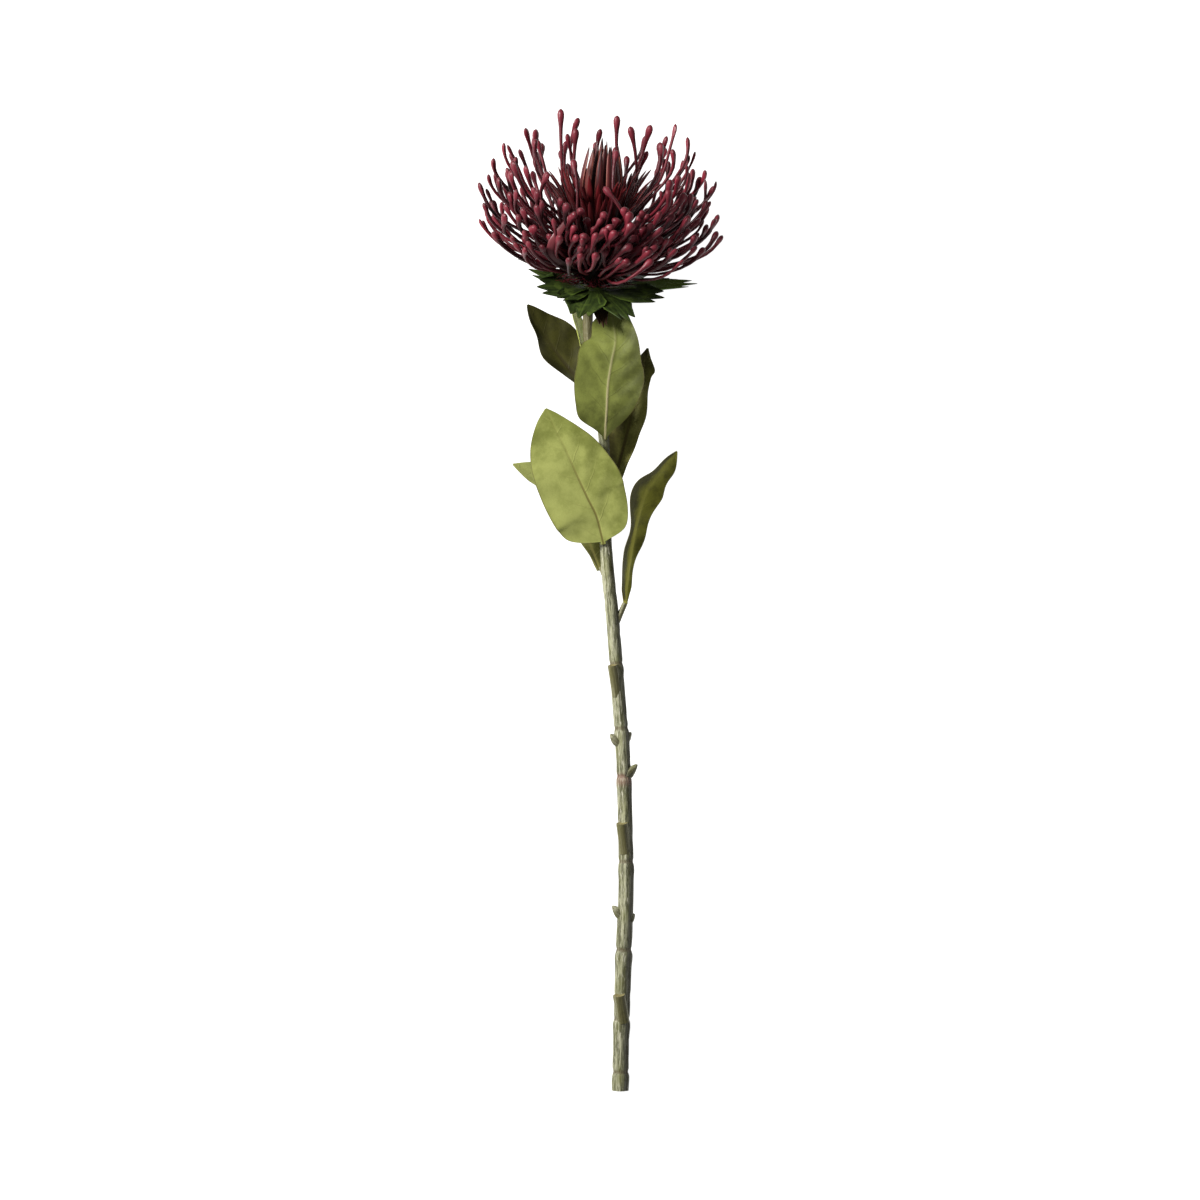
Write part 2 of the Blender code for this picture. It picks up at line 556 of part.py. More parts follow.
def make_bracts(collection, parent, material):
    """The green disc under the head with the ruff of toothed bracts joined on."""
    disc = turned_disc("bracts", RUFF_DISC_RADIUS, RUFF_DISC_TOP - RUFF_DISC_THICKNESS, RUFF_DISC_TOP)
    bracts = add_object("bracts", disc, collection, parent, material)
    blades = new_collection("bract_blades")
    along, across = np.meshgrid(
        np.linspace(0, 1, BRACT_STEPS_ALONG + 1), np.linspace(-1, 1, len(BRACT_TEETH)), indexing="ij")
    thickness = np.full(along.shape, BRACT_THICKNESS)
    for number, (azimuth, reach, half_width, lift, roll) in enumerate(BRACTS):
        lower = BRACT_LAYER * (number % 2)
        azimuth, lift, roll = np.radians((azimuth, lift, roll))
        points = bract_surface(azimuth, reach, half_width, lift, roll, lower, along, across)
        grid_object(f"bract_{number}", points, thickness, blades, parent, None)
    fuse(bracts, blades, "MANIFOLD")


def turned_disc(name, radius, bottom, top):
    """A short round disc with a flat top and bottom."""
    work = bmesh.new()
    bmesh.ops.create_cone(
        work, cap_ends=True, segments=16, radius1=radius * MM, radius2=radius * MM, depth=(top - bottom) * MM)
    bmesh.ops.translate(work, verts=work.verts, vec=(0.0, 0.0, (top + bottom) / 2 * MM))
    mesh = bpy.data.meshes.new(name)
    work.to_mesh(mesh)
    work.free()
    return mesh


def core_mesh(name):
    """The egg-shaped receptacle."""
    work = bmesh.new()
    bmesh.ops.create_uvsphere(work, u_segments=14, v_segments=8, radius=1.0)
    bmesh.ops.scale(work, verts=work.verts, vec=(CORE_RADIUS * MM, CORE_RADIUS * MM, CORE_HALF_HEIGHT * MM))
    bmesh.ops.translate(work, verts=work.verts, vec=(0.0, 0.0, CORE_MIDDLE * MM))
    mesh = bpy.data.meshes.new(name)
    work.to_mesh(mesh)
    work.free()
    return mesh


def between(pair, share):
    """The value at a share of the way from the pair's first to its second."""
    return pair[0] + (pair[1] - pair[0]) * share


def keep_off_cone(path, clearance):
    """Pushes points out of the room that the cone of florets takes."""
    reach = np.hypot(path[:, 0], path[:, 1])
    heights, radii = zip(*CONE_ROOM)
    room = np.interp(path[:, 2], heights, radii) + clearance
    room = np.where(path[:, 2] < heights[0], 0.0, room)
    grow = np.maximum(reach, room) / np.maximum(reach, 1e-6)
    return np.column_stack([path[:, 0] * grow, path[:, 1] * grow, path[:, 2]])


def pin_radii(shares):
    """Radius along a pin: a thinning thread, then the club that swells out of it and ends blunt."""
    return np.interp(shares, *zip(*PIN_PROFILE))


def pin_path(azimuth, tier, stretch, bend, droop, shares):
    """A pin's course in the head's frame: one cubic from its root on the core to its tip on the dome of tips.

    It leaves the core at its start tilt, reaches the tip at its end tilt and swings a little to one side. On the
    side that faces the sky its tip is lower and nearer, so that the bloom opens there.
    """
    to_sky = max(-math.sin(azimuth), 0.0) ** 2
    away = max(math.sin(azimuth), 0.0) ** 2
    latitude = math.radians(between(PIN_ROOT_LATITUDE, tier))
    start = math.radians(between(PIN_START_TILT, tier) - between(SKY_LESS_START, tier) * to_sky + droop)
    end = math.radians(between(PIN_END_TILT, tier) + droop)
    rise = math.asin(between(TIP_DOME_RISE, tier) - between(SKY_LESS_RISE, tier) * to_sky)
    reach = TIP_DOME_RADIUS * (stretch - SKY_SHORTER * to_sky - FAR_SHORTER * away)
    root = np.array((
        CORE_RADIUS * math.cos(latitude) - PIN_ROOT_SUNK,
        CORE_MIDDLE + CORE_HALF_HEIGHT * math.sin(latitude)))
    tip = np.array((reach * math.cos(rise), TIP_DOME_MIDDLE + reach * math.sin(rise)))
    pull = np.linalg.norm(tip - root) * PIN_PULL
    near_root = root + pull * np.array((math.cos(start), math.sin(start)))
    near_tip = tip - pull * np.array((math.cos(end), math.sin(end)))
    t = np.asarray(shares)[:, None]
    course = (
        (1 - t) ** 3 * root + 3 * (1 - t) ** 2 * t * near_root + 3 * (1 - t) * t**2 * near_tip + t**3 * tip
    )
    swing = azimuth + (bend + SKY_SWING * to_sky) * np.asarray(shares) ** 2
    return np.column_stack([course[:, 0] * np.cos(swing), course[:, 0] * np.sin(swing), course[:, 1]])


def press_on_table(path, wide, thick, half_wide, half_thick, to_table):
    """Bends a path up where its pin would reach below the table, so that the pin lies on it."""
    rise = np.array(to_table.to_3x3())[2]
    across, up = section_corners(half_wide, half_thick, PIN_SIDES)
    reach = np.max(across * (wide @ rise)[:, None] + up * (thick @ rise)[:, None], axis=1)
    over = path @ rise + to_table.translation.z / MM - reach - PRESS_CLEARANCE
    eased = np.where(over < -PRESS_BAND, 0.0, (over + PRESS_BAND) ** 2 / (4 * PRESS_BAND))
    eased = np.where(over > PRESS_BAND, over, eased)
    return path + np.outer(eased - over, rise)


def add_pin(name, path, shares, wide_hint, collection, parent, to_table):
    """One clubbed pin along its course."""
    radii = pin_radii(shares)
    flat = np.interp(shares, CLUB_FLAT_FROM, (1.0, CLUB_FLATNESS))
    _, wide, thick = section_frame(path, wide_hint)
    path = press_on_table(path, wide, thick, radii / flat, radii * flat, to_table)
    _, wide, thick = section_frame(path, wide_hint)
    mesh = lofted_mesh(name, path, wide, thick, radii / flat, radii * flat, PIN_SIDES)
    add_object(name, mesh, collection, parent)


def add_pins(collection, parent, to_table):
    """All pins by the golden angle from the lowest tier to the highest, with a seeded scatter."""
    rng = np.random.default_rng(PIN_SEED)
    number = np.arange(PIN_COUNT)
    tiers = ((number + 0.5) / PIN_COUNT) ** PIN_CROWDING
    azimuths = number * GOLDEN_ANGLE + rng.normal(0.0, PIN_AZIMUTH_SPREAD, PIN_COUNT)
    azimuths = azimuths - SKY_GATHER * np.cos(azimuths)
    stretches = 1 + rng.normal(0.0, PIN_STRETCH_SPREAD, PIN_COUNT)
    bends = rng.normal(0.0, PIN_BEND_SPREAD, PIN_COUNT)
    droops = rng.normal(0.0, PIN_DROOP_SPREAD, PIN_COUNT)
    shares = np.array(PIN_STATIONS)
    for k in number:
        path = pin_path(azimuths[k], tiers[k], stretches[k], bends[k], droops[k], shares)
        path = keep_off_cone(path, PIN_CONE_GAP)
        sideways = np.array((-math.sin(azimuths[k]), math.cos(azimuths[k]), 0.0))
        add_pin(f"pin_{k}", path, shares, sideways, collection, parent, to_table)


def add_stray_pins(collection, parent, to_head, to_table):
    """The pins that stray from the rest, kept off the cone."""
    shares = np.array(STRAY_STATIONS)
    for k, points in enumerate(STRAY_PINS):
        course = [list((to_head @ (Vector(point) * MM)) / MM) for point in points]
        path = keep_off_cone(smooth_through(course, shares), PIN_CONE_GAP)
        add_pin(f"stray_{k}", path, shares, np.array((1.0, 0.0, 0.3)), collection, parent, to_table)


def add_lobes(collection, parent):
    """Red pointed straps that lean out round the cone of florets."""
    rng = np.random.default_rng(LOBE_SEED)
    shares = np.array(LOBE_STATIONS)
    half_wide = LOBE_WIDTH / 2 * np.array(LOBE_WIDE_SHAPE)
    half_thick = LOBE_THICKNESS / 2 * np.array(LOBE_THICK_SHAPE)
    latitude = math.radians(LOBE_ROOT_LATITUDE)
    root_out = CORE_RADIUS * math.cos(latitude) - LOBE_ROOT_SUNK[0]
    root_up = CORE_MIDDLE + CORE_HALF_HEIGHT * math.sin(latitude) - LOBE_ROOT_SUNK[1]
    for k in range(LOBE_COUNT):
        azimuth = 2 * math.pi * k / LOBE_COUNT + rng.normal(0.0, LOBE_AZIMUTH_SPREAD)
        tilts = np.interp(shares, (0.0, 1.0), LOBE_TILT) + rng.normal(0.0, LOBE_TILT_SPREAD)
        steps = np.diff(shares) * LOBE_LENGTH * (1 + rng.normal(0.0, LOBE_LENGTH_SPREAD))
        tilts = np.radians(tilts[:-1])
        outward = root_out + np.concatenate([[0], np.cumsum(np.cos(tilts) * steps)])
        height = root_up + np.concatenate([[0], np.cumsum(np.sin(tilts) * steps)])
        path = np.column_stack([outward * math.cos(azimuth), outward * math.sin(azimuth), height])
        path = keep_off_cone(path, LOBE_CONE_GAP)
        sideways = np.array((-math.sin(azimuth), math.cos(azimuth), 0.0))
        _, wide, thick = section_frame(path, sideways)
        mesh = lofted_mesh(f"lobe_{k}", path, wide, thick, half_wide, half_thick, LOBE_SIDES)
        add_object(f"lobe_{k}", mesh, collection, parent)


def make_styles(collection, parent, material, to_head, to_table):
    """The receptacle with every pin and lobe joined on."""
    styles = add_object("styles", core_mesh("styles"), collection, parent, material)
    growths = new_collection("style_growths")
    add_pins(growths, parent, to_table)
    add_stray_pins(growths, parent, to_head, to_table)
    add_lobes(growths, parent)
    fuse(styles, growths, "MANIFOLD")


def make_florets(collection, parent, material):
    """The cone of closed pointed florets on its small disc."""
    radius, bottom, top = FLORET_DISC
    florets = add_object("florets", turned_disc("florets", radius, bottom, top), collection, parent, material)
    straps = new_collection("floret_straps")
    rng = np.random.default_rng(FLORET_SEED)
    shares = np.array(FLORET_STATIONS)
    half_wide = FLORET_WIDTH / 2 * np.array(FLORET_WIDE_SHAPE)
    half_thick = FLORET_THICKNESS / 2 * np.array(FLORET_THICK_SHAPE)
    for ring, (count, root, widest, tip, length) in enumerate(FLORET_RINGS):
        bulge = (root, (root + widest) / 2 + 1, widest, tip)
        outward = np.interp(shares, (0.0, 0.25, 0.55, 1.0), bulge)
        for k in range(count):
            azimuth = 2 * math.pi * (k + 0.5 * ring) / count + rng.normal(0.0, FLORET_SPREAD)
            tall = length * (1 + rng.normal(0.0, FLORET_SPREAD))
            height = top - FLORET_SET_IN + tall * shares
            path = np.column_stack([outward * math.cos(azimuth), outward * math.sin(azimuth), height])
            sideways = np.array((-math.sin(azimuth), math.cos(azimuth), 0.0))
            _, wide, thick = section_frame(path, sideways)
            name = f"floret_{ring}_{k}"
            mesh = lofted_mesh(name, path, wide, thick, half_wide, half_thick, FLORET_SIDES)
            add_object(name, mesh, straps, parent)
    fuse(florets, straps, "MANIFOLD")


def make_flower():
    """Lays out the two frames and models every piece in them."""
    start_clean()
    collection = new_collection("protea")
    flower = bpy.data.objects.new("flower", None)
    flower.location = CUT_END
    flower.rotation_euler = (LYING_ANGLE, 0.0, 0.0)
    collection.objects.link(flower)
    head = bpy.data.objects.new("flower_head", None)
    head.parent = flower
    head.location = Vector(HEAD_BASE) * MM
    head.rotation_euler = (HEAD_NOD - math.pi / 2, 0.0, -HEAD_LEAN)
    collection.objects.link(head)
    bpy.context.view_layer.update()
    to_table = head.matrix_world.copy()
    to_head = head.matrix_local.inverted()

    make_stem(collection, flower, plant_material("stem_bark", "8f9273", 0.45))
    for name in LEAVES:
        tone = "a8ab62" if name in PALE_LEAVES else "55561f"
        make_leaf(name, collection, flower, plant_material(f"{name}_green", tone, 0.5))
    make_bracts(collection, head, plant_material("bract_green", "2f4318", 0.5))
    make_styles(collection, head, plant_material("pin_burgundy", "5e1f2b", 0.4), to_head, to_table)
    make_florets(collection, head, plant_material("floret_russet", "a5685a", 0.5))


make_flower()
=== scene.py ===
"""Looks of a cut pincushion protea: fine bark, leaves, ruff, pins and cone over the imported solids.

The pieces are drawn in the flower's own growing frame, in millimetres: X to its right, +Y up the stem from the
cut end, +Z towards the sky when it lies down. The bloom is drawn in a frame of its own, with +Z along its axis
and -Y towards the sky. GROWING and BLOOM turn both into the table's frame, in metres, where the solids are.
"""

import math

import bpy
import numpy as np
from mathutils import Euler, Matrix, Vector


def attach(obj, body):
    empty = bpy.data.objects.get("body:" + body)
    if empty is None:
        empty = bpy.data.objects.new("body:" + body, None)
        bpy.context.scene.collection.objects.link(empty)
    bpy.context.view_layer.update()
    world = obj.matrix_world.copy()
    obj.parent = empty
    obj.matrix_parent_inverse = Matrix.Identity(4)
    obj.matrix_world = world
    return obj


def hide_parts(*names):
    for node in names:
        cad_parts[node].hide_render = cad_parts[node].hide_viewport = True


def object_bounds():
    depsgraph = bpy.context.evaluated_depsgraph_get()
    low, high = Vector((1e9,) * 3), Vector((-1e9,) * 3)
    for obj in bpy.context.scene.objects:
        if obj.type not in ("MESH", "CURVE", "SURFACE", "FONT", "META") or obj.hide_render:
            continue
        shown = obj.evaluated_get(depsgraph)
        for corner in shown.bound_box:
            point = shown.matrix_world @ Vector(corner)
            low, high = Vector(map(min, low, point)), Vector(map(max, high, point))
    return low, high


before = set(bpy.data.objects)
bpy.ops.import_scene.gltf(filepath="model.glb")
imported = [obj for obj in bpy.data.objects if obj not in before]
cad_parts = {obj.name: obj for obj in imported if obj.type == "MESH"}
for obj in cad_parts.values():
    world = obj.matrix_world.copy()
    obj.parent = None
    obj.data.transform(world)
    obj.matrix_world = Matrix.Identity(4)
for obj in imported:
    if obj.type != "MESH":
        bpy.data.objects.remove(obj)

solids_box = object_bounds()

MM = 0.001
FULL_TURN = 2 * math.pi
GOLDEN_ANGLE = math.pi * (3.0 - math.sqrt(5.0))
CREASE = math.radians(50)

# How the flower lies
CUT_END = np.array((10.3, -282.4, 4.65))
LYING_ANGLE = math.radians(5.1)
HEAD_BASE = np.array((-14.4, 467.5, 0))
HEAD_LEAN = math.radians(3.5)
HEAD_NOD = math.radians(17)
HEAD_TURN = Euler((HEAD_NOD - math.pi / 2, 0, -HEAD_LEAN)).to_matrix()
GROWING = Matrix.Translation(Vector(CUT_END) * MM) @ Matrix.Rotation(LYING_ANGLE, 4, "X")
BLOOM = GROWING @ Matrix.Translation(Vector(HEAD_BASE) * MM) @ HEAD_TURN.to_4x4()

# View: millimetres to a picture point, the picture's middle and the stem's foot in points, distance and lens
PICTURE_POINT = 0.58
PICTURE_MIDDLE = (600, 600)
STEM_FOOT_IN_PICTURE = (620, 1091)
CAMERA_DISTANCE = 2400
CAMERA_LENS = 124
CAMERA_SENSOR = 36

# Key light: its direction and the place it shines on in the growing frame, distance and size in metres
KEY_FROM = (-0.95, 0.5, 0.75)
KEY_TOWARDS = (-5, 380, 20)
KEY_DISTANCE = 1.5
KEY_SIZE = 0.4
KEY_POWER = 52
KEY_TINT = (1, 0.985, 0.96)
SURROUND_STRENGTH = 0.26
FLOOR_HALF_WIDTH = 6.0
FLOOR_GAP = 0.0002

# Stem: growing height, offset right, offset to the sky, diameter
STEM_COURSE = (
    (0, 0, 0, 9.5), (30, 0.6, 0, 9.3), (78, 2, 0, 9.4), (120, 3.5, 0, 8.9), (162, 2.9, 0, 8.6), (197, 1.7, 0, 8.3),
    (231, -0.9, 0, 7.9), (273, -4.1, 0, 7.6), (308, -7.5, 0, 7.4), (343, -9.3, 0, 6.8), (378, -9.2, -0.2, 6.4),
    (401, -13.3, -0.8, 6.2), (437, -18.2, -2.4, 5.8), (454, -18.3, -2.6, 6),
)
STEM_SIDES = 48
STEM_RINGS = 460
NECK_RINGS = 8
NECK_TOP = -2.5
NECK_HEIGHTS = (385, 425)

# Bark relief: ridges by size, count round the stem, start and climb; wrinkles by size, count, swing, its length
# and start; the lengths of the dents; and the share of the radius that each kind takes
RIDGES = ((0.6, 3, 1.1, 0.004), (0.5, 5, -0.4, -0.006))
WRINKLES = ((1, 11, 0.9, 23, 1.4), (0.8, 17, -1.1, 17, 0))
DENT_LENGTHS = (3.1, 7.3)
RIDGE_SIZE = 0.055
WRINKLE_SIZE = 0.022
DENT_SIZE = 0.06

# The stem's right flank that is painted darker as painted shade, its cut face, and its joints
PAINTED_SHADE_FLANK = (0.8, 3.4)
CUT_FACE = (0.03, 0.35, 0.7, 0.93)
STEM_JOINTS = (11, 41.8, 82, 133, 182.7, 210.5, 248, 330)
BLUSHING_JOINT = STEM_JOINTS[4]
BLUSH_BELOW = 2
BLUSH_SPREAD = 4
JOINT_GROOVE = 0.11
JOINT_GROOVE_SPREAD = 1.3
JOINT_SWELL = 0.09
JOINT_SWELL_SPREAD = 4
JOINT_SWELL_BELOW = 4.5

# Cut side twigs and petiole stubs: root, tip, root radius, tip radius; their profile by share of the length and
# of the radius, and the row of it where the cut begins
STEM_STUBS = (
    ((2, 40, 2), (-0.6, 56, 6), 3.6, 3.5),
    ((3, 138, 1.5), (1, 155.5, 5.6), 3.3, 3.3),
    ((-1.5, 229, 1), (-4.4, 247, 5), 3, 2.7),
    ((-3.6, 268, 0), (3, 283, 0), 2, 1.5),
    ((-9, 300, -1), (-11, 304, -1.6), 2, 1.4),
)
STUB_SIDES = 24
STUB_PROFILE = ((0, 1), (0.25, 1), (0.5, 1), (0.75, 1), (0.93, 1.03), (1, 1), (1, 0.86), (0.985, 0.6), (0.975, 0.3),
                (0.97, 0.06))
STUB_CUT_ROW = 6
STUB_RIDGES = (0.035, 0.02)

# Buds: root and tip; their profile, and how far they have a twig's tone
STEM_BUDS = (
    ((2.5, 100, 0), (-4.6, 107.3, 1)),
    ((3.5, 98, 0), (8.6, 102.5, -0.5)),
    ((2, 181, 0.5), (10.1, 189.5, 1)),
    ((0.5, 201, 0.5), (-5.8, 206.8, 1.2)),
    ((0.8, 202, 0), (6.6, 208, -1)),
)
BUD_RADIUS = 3.1
BUD_PROFILE = ((0, 0.9), (0.2, 0.98), (0.4, 1), (0.58, 0.86), (0.75, 0.62), (0.88, 0.4), (0.96, 0.22), (1, 0.06))
BUD_TWIG = 0.35

# Leaves: points of the rib; width to the left and right of it by share of the length; turn about the rib in
# degrees at foot and tip; how far the edges rise for their width; the edge's waves (height, count, phase)
LEAVES = {
    "leaf_1": (
        ((-17, 404.5, -4.6), (-25, 414, -9), (-35.5, 427, -12), (-45, 441, -12.5), (-53.9, 457, -10)),
        ((0, 1.3, 1.3), (0.12, 2.5, 6), (0.3, 4.8, 14), (0.5, 9.3, 18), (0.7, 5, 15), (0.85, 3.8, 8.4),
         (0.95, 1.9, 3.4), (1, 0.5, 0.5)),
        (10, 26), 0.1, (1.2, 3, 0.6)),
    "leaf_2": (
        ((-21.6, 428, -2.6), (-24.2, 441, -7.5), (-27.5, 455, -14), (-32, 468, -22)),
        ((0, 1.2, 1.2), (0.2, 2.6, 5), (0.45, 4, 9), (0.7, 4.5, 8), (0.9, 2.2, 3.4), (1, 0.5, 0.5)),
        (68, 72), 0.08, (0.5, 2, 0)),
    "leaf_3": (
        ((-8.8, 379.5, 4.6), (-7.8, 393.8, 8.5), (-7, 409, 10.8), (-5, 422, 11.6), (-2.6, 435, 10.8),
         (-4.4, 448, 9), (-7, 456, 8)),
        ((0, 1.4, 1.4), (0.05, 6, 4.5), (0.13, 15.5, 10.5), (0.25, 18.3, 17), (0.4, 19.7, 20.2),
         (0.5, 19.4, 20), (0.62, 19.4, 16.6), (0.76, 14.2, 12.2), (0.88, 12, 9), (0.96, 6, 5),
         (1, 0.6, 0.6)),
        (0, -4), 0.1, (0.9, 2.5, 1.4)),
    "leaf_4": (
        ((-10, 318.6, 5.2), (-13.6, 332.9, 9), (-18.6, 343.2, 11.5), (-24.6, 356, 14), (-31.3, 371, 17),
         (-38, 384.5, 19), (-42.9, 395, 20)),
        ((0, 1.5, 1.5), (0.035, 14, 10.5), (0.08, 20.5, 15.5), (0.17, 23.6, 18.8), (0.3, 24.6, 22.5),
         (0.45, 24.6, 23), (0.65, 22.8, 19), (0.8, 18, 12.5), (0.93, 8.6, 5.5), (1, 0.6, 0.6)),
        (4, -6), 0.08, (0.8, 2.5, 0.2)),
    "leaf_5": (
        ((-5.2, 346, -3.2), (-1, 362, -8), (5, 385, -12), (11, 408, -12), (16.2, 431.5, -8)),
        ((0, 1.3, 1.3), (0.12, 5, 4), (0.25, 8, 5.6), (0.4, 10, 7.4), (0.52, 11, 9.2), (0.64, 11, 8),
         (0.74, 9.5, 6.6), (0.82, 7.5, 6), (0.87, 6.2, 7.4), (0.94, 3.5, 3.6), (1, 0.5, 0.5)),
        (-12, -18), 0.22, (1.3, 4, 0.9)),
    "leaf_6": (
        ((-12.4, 303.5, -3.2), (-18, 318, -9), (-30, 338, -14), (-46, 355, -14), (-62.3, 364, -10)),
        ((0, 1.3, 1.3), (0.15, 3.6, 8), (0.3, 5.2, 12), (0.5, 6.2, 14), (0.7, 5.4, 12), (0.85, 5.2, 7.5),
         (0.95, 2.6, 3.2), (1, 0.5, 0.5)),
        (20, 30), 0.1, (1, 3, 2)),
    "leaf_7": (
        ((3.25, 283.95, 0), (3.5, 294, 1.2), (6, 312, 2.6), (9.8, 331, 4), (14.5, 346.5, 5), (22, 357.5, 5),
         (33, 371, 3)),
        ((0, 1.1, 1.1), (0.04, 2.6, 2.2), (0.1, 5.6, 3.8), (0.2, 7.8, 4.1), (0.3, 7, 4.4), (0.42, 5.8, 7.4),
         (0.55, 9.5, 8.6), (0.7, 12.8, 10.2), (0.8, 8, 8.4), (0.9, 5, 7.2), (1, 0.5, 0.5)),
        (48, 40), 0.3, (1.2, 3, 0)),
}
LEAF_ROWS = 96
LEAF_COLUMNS = 45
LEAF_EDGE_CROWDING = 1.25
LEAF_THICKNESS = 0.7
LEAF_RIM = 0.45
FOOT_THICKNESS = 1.9
LEAF_FOOT_SHARE = 0.1
LEAF_FOOT_REACH = 1.5
LEAF_SIDE_PHASE = 1.3

# How each leaf's skin looks: bright and deep tone of the face to the sky, tone of the other face, rib and vein
# tone, rib height (sunk below zero) and half width, ripple height and spacing of the side veins, and how much
# darker the left half, right half, foot and tip are painted, partly as the leaf's own tone and partly as painted
# shade
LOOK_FIELDS = ("bright", "deep", "back", "rib", "vein", "rib_height", "rib_width", "ripple", "spacing", "darker_by_shade_and_tone")
LEAF_LOOKS = {
    "leaf_1": ("3e3d16", "201f0a", "5f6638", "2c2811", "34321a", -0.35, 1.3, 0.14, 13, (0.5, 0.15, 0.35, 0.1)),
    # painted light: leaf_2's tones are set paler than its own colour, so that it looks lit where it turns away from
    # the key light
    "leaf_2": ("c6cf74", "a0a950", "8a9148", "a5a462", "8c9048", 0.3, 0.9, 0.08, 10, (0.2, 0.3, 0.1, 0.1)),
    "leaf_3": ("717839", "3d4119", "565d2a", "8d8663", "474a20", 0.55, 0.75, 0.2, 14, (-0.05, 0.4, 0.35, -0.4)),
    "leaf_4": ("9a9f5a", "666c30", "767c3e", "6a6433", "85874a", -0.5, 0.7, 0.2, 19, (-0.1, 0.25, -0.1, 0.4)),
    "leaf_5": ("77763a", "322f14", "6b7038", "4a4220", "4c4a22", -0.4, 1.1, 0.12, 12, (0.5, -0.3, 0.2, 0.5)),
    "leaf_6": ("979c5c", "4a4a20", "767c3e", "6c6838", "7a7c46", -0.3, 0.9, 0.1, 12, (0.1, 0.1, 1, -0.4)),
    "leaf_7": ("a0a03c", "45441a", "4a4820", "b2ae4c", "7a7632", 0.35, 1.5, 0.1, 12, (0.7, 0.1, 0, 0)),
}
LEAF_SWELL = 0.35
LEAF_SWELL_LENGTH = 9

# Where a leaf's relief comes up: by share of the way to the edge and of the length, and where it ends at the tip
RIPPLE_FROM_RIB = (0.04, 0.35)
RIPPLE_FROM_FOOT = (0.05, 0.2)
SWELL_FROM_RIB = (0.1, 0.6)
SWELL_FROM_FOOT = (0.1, 0.3)
RIB_FROM_FOOT = (0.02, 0.12)
RELIEF_ENDS = (0.8, 1)

# Side veins: how they lean back and bow outwards, how far the two sides are apart, and how far they stray
VEIN_LEAN = 0.85
VEIN_BOW = 0.012
VEIN_SHIFT = 0.22
VEIN_WANDER = 5

# Ruff of bracts: azimuth, reach, half width, the angle at which it rises from the head's base plane, and its
# roll about its own length
BRACTS = (
    (-104, 36, 12, -18, 0), (-78, 34.5, 4.5, -27, 0), (-56, 40.5, 9.5, -16, -8), (-28, 46, 10, 6, -34),
    (-5, 60, 5.5, 9, -32), (18, 50, 9, 9, 0), (46, 46, 9.5, 8, 0), (77, 45, 9.5, 8, 0), (108, 45, 9, 8, 0),
    (138, 46, 8.5, 9, 0), (164, 52, 5.5, 17, 0), (-172, 42, 8, 20, 44), (-150, 39, 9.5, 7, 52), (-132, 32, 7, 2, 30),
)
WITHERED_BRACT = 1
LIGHT_BRACT = 4
BRACT_TEETH = (0.66, 0.92, 0.82, 1, 0.82, 0.94, 0.66)
TOOTH_ROUNDNESS = 1.35
BRACT_OUTLINE = ((0, 0.25), (0.2, 0.6), (0.45, 1), (0.75, 1), (1, 0.7))
BRACT_CUP = 0.16
BRACT_TIP_DROOP = 1.5
BRACT_THICKNESS = 0.7
BRACT_LAYER = 1.5
BRACT_ROWS = 22
BRACT_COLUMNS = 49
RUFF_ROOT = 4.6
RUFF_HEIGHT = -1.3
RUFF_CUP = ((2.9, -9), (3.3, -7.6), (4, -6.2), (5.3, -4.8), (6.6, -3.6), (7.3, -2.3), (7.1, -1), (6, -0.3), (3, 0.2),
            (0.2, 0.3))
RUFF_CUP_SIDES = 28

# Receptacle that the pins grow from, and how far the painted shade round it reaches
CORE_RADIUS = 17
CORE_HALF_HEIGHT = 18
CORE_MIDDLE = 17.7
CORE_SIDES = 24
CORE_PAINTED_SHADE = (14, 42)
PAINTED_SHADE_LIFT = 6
PAINTED_SHADE_SHAPE = (1, 1, 0.8)

# Pins and the ones between them that fill the bloom: count, seed, stretch and the turn of the first
PIN_SETS = ((140, 31, 1, 0), (110, 41, 0.9, GOLDEN_ANGLE / 2))
PIN_CROWDING = 1.25
PIN_ROOT_LATITUDE = (-24, 36)
PIN_ROOT_SUNK = 3
PIN_START_TILT = (-6, 64)
PIN_END_TILT = (52, 92)
TIP_DOME_RADIUS = 69
TIP_DOME_MIDDLE = 38
TIP_DOME_RISE = (-0.1, 0.77)
PIN_PULL = 0.4
PIN_CONE_GAP = 2.4

# Pins on the side that faces the sky: how much they crowd there, how much less their tips rise and their roots
# tilt at the lowest and the highest tier, how much shorter their reach is, how far they swing aside, how much
# fatter their clubs are; and the shorter far side
SKY_GATHER = 0.32
SKY_LESS_RISE = (0.1, 0.45)
SKY_LESS_START = (0, 35)
SKY_SHORTER = 0.23
SKY_SWING = 0.16
SKY_FATTER = 0.16
FAR_SHORTER = 0.05

# Scatter of the pins: also how far they sway to their sides and in and out, their turns of sway and their girth
PIN_AZIMUTH_SPREAD = 0.09
PIN_STRETCH_SPREAD = 0.05
PIN_BEND_SPREAD = 0.15
PIN_DROOP_SPREAD = 5.1
PIN_SWAY = 1.7
PIN_SWAY_TURNS = (1.1, 1.7)
PIN_SWAY_LEAN = (0, 0.6, 0.8)
PIN_GIRTH_SPREAD = 0.16

# Radius along a pin by share of its length: thread, swelling neck, club and blunt end
PIN_PROFILE = ((0, 0.85), (0.4, 0.76), (0.65, 0.86), (0.8, 0.98), (0.885, 1.08), (0.92, 1.36), (0.95, 1.64),
               (0.974, 1.54), (0.989, 1.06), (0.998, 0.3))
PIN_STATIONS = (0, 0.14, 0.28, 0.42, 0.55, 0.67, 0.77, 0.84, 0.885, 0.92, 0.95, 0.974, 0.989, 0.998)
PIN_SIDES = 8
CLUB_FATTENS = (0.7, 0.9)
CLUB_FLATNESS = 0.85
CLUB_FLAT_FROM = (0.84, 0.92)
PRESS_BAND = 3
PRESS_CLEARANCE = 0.2

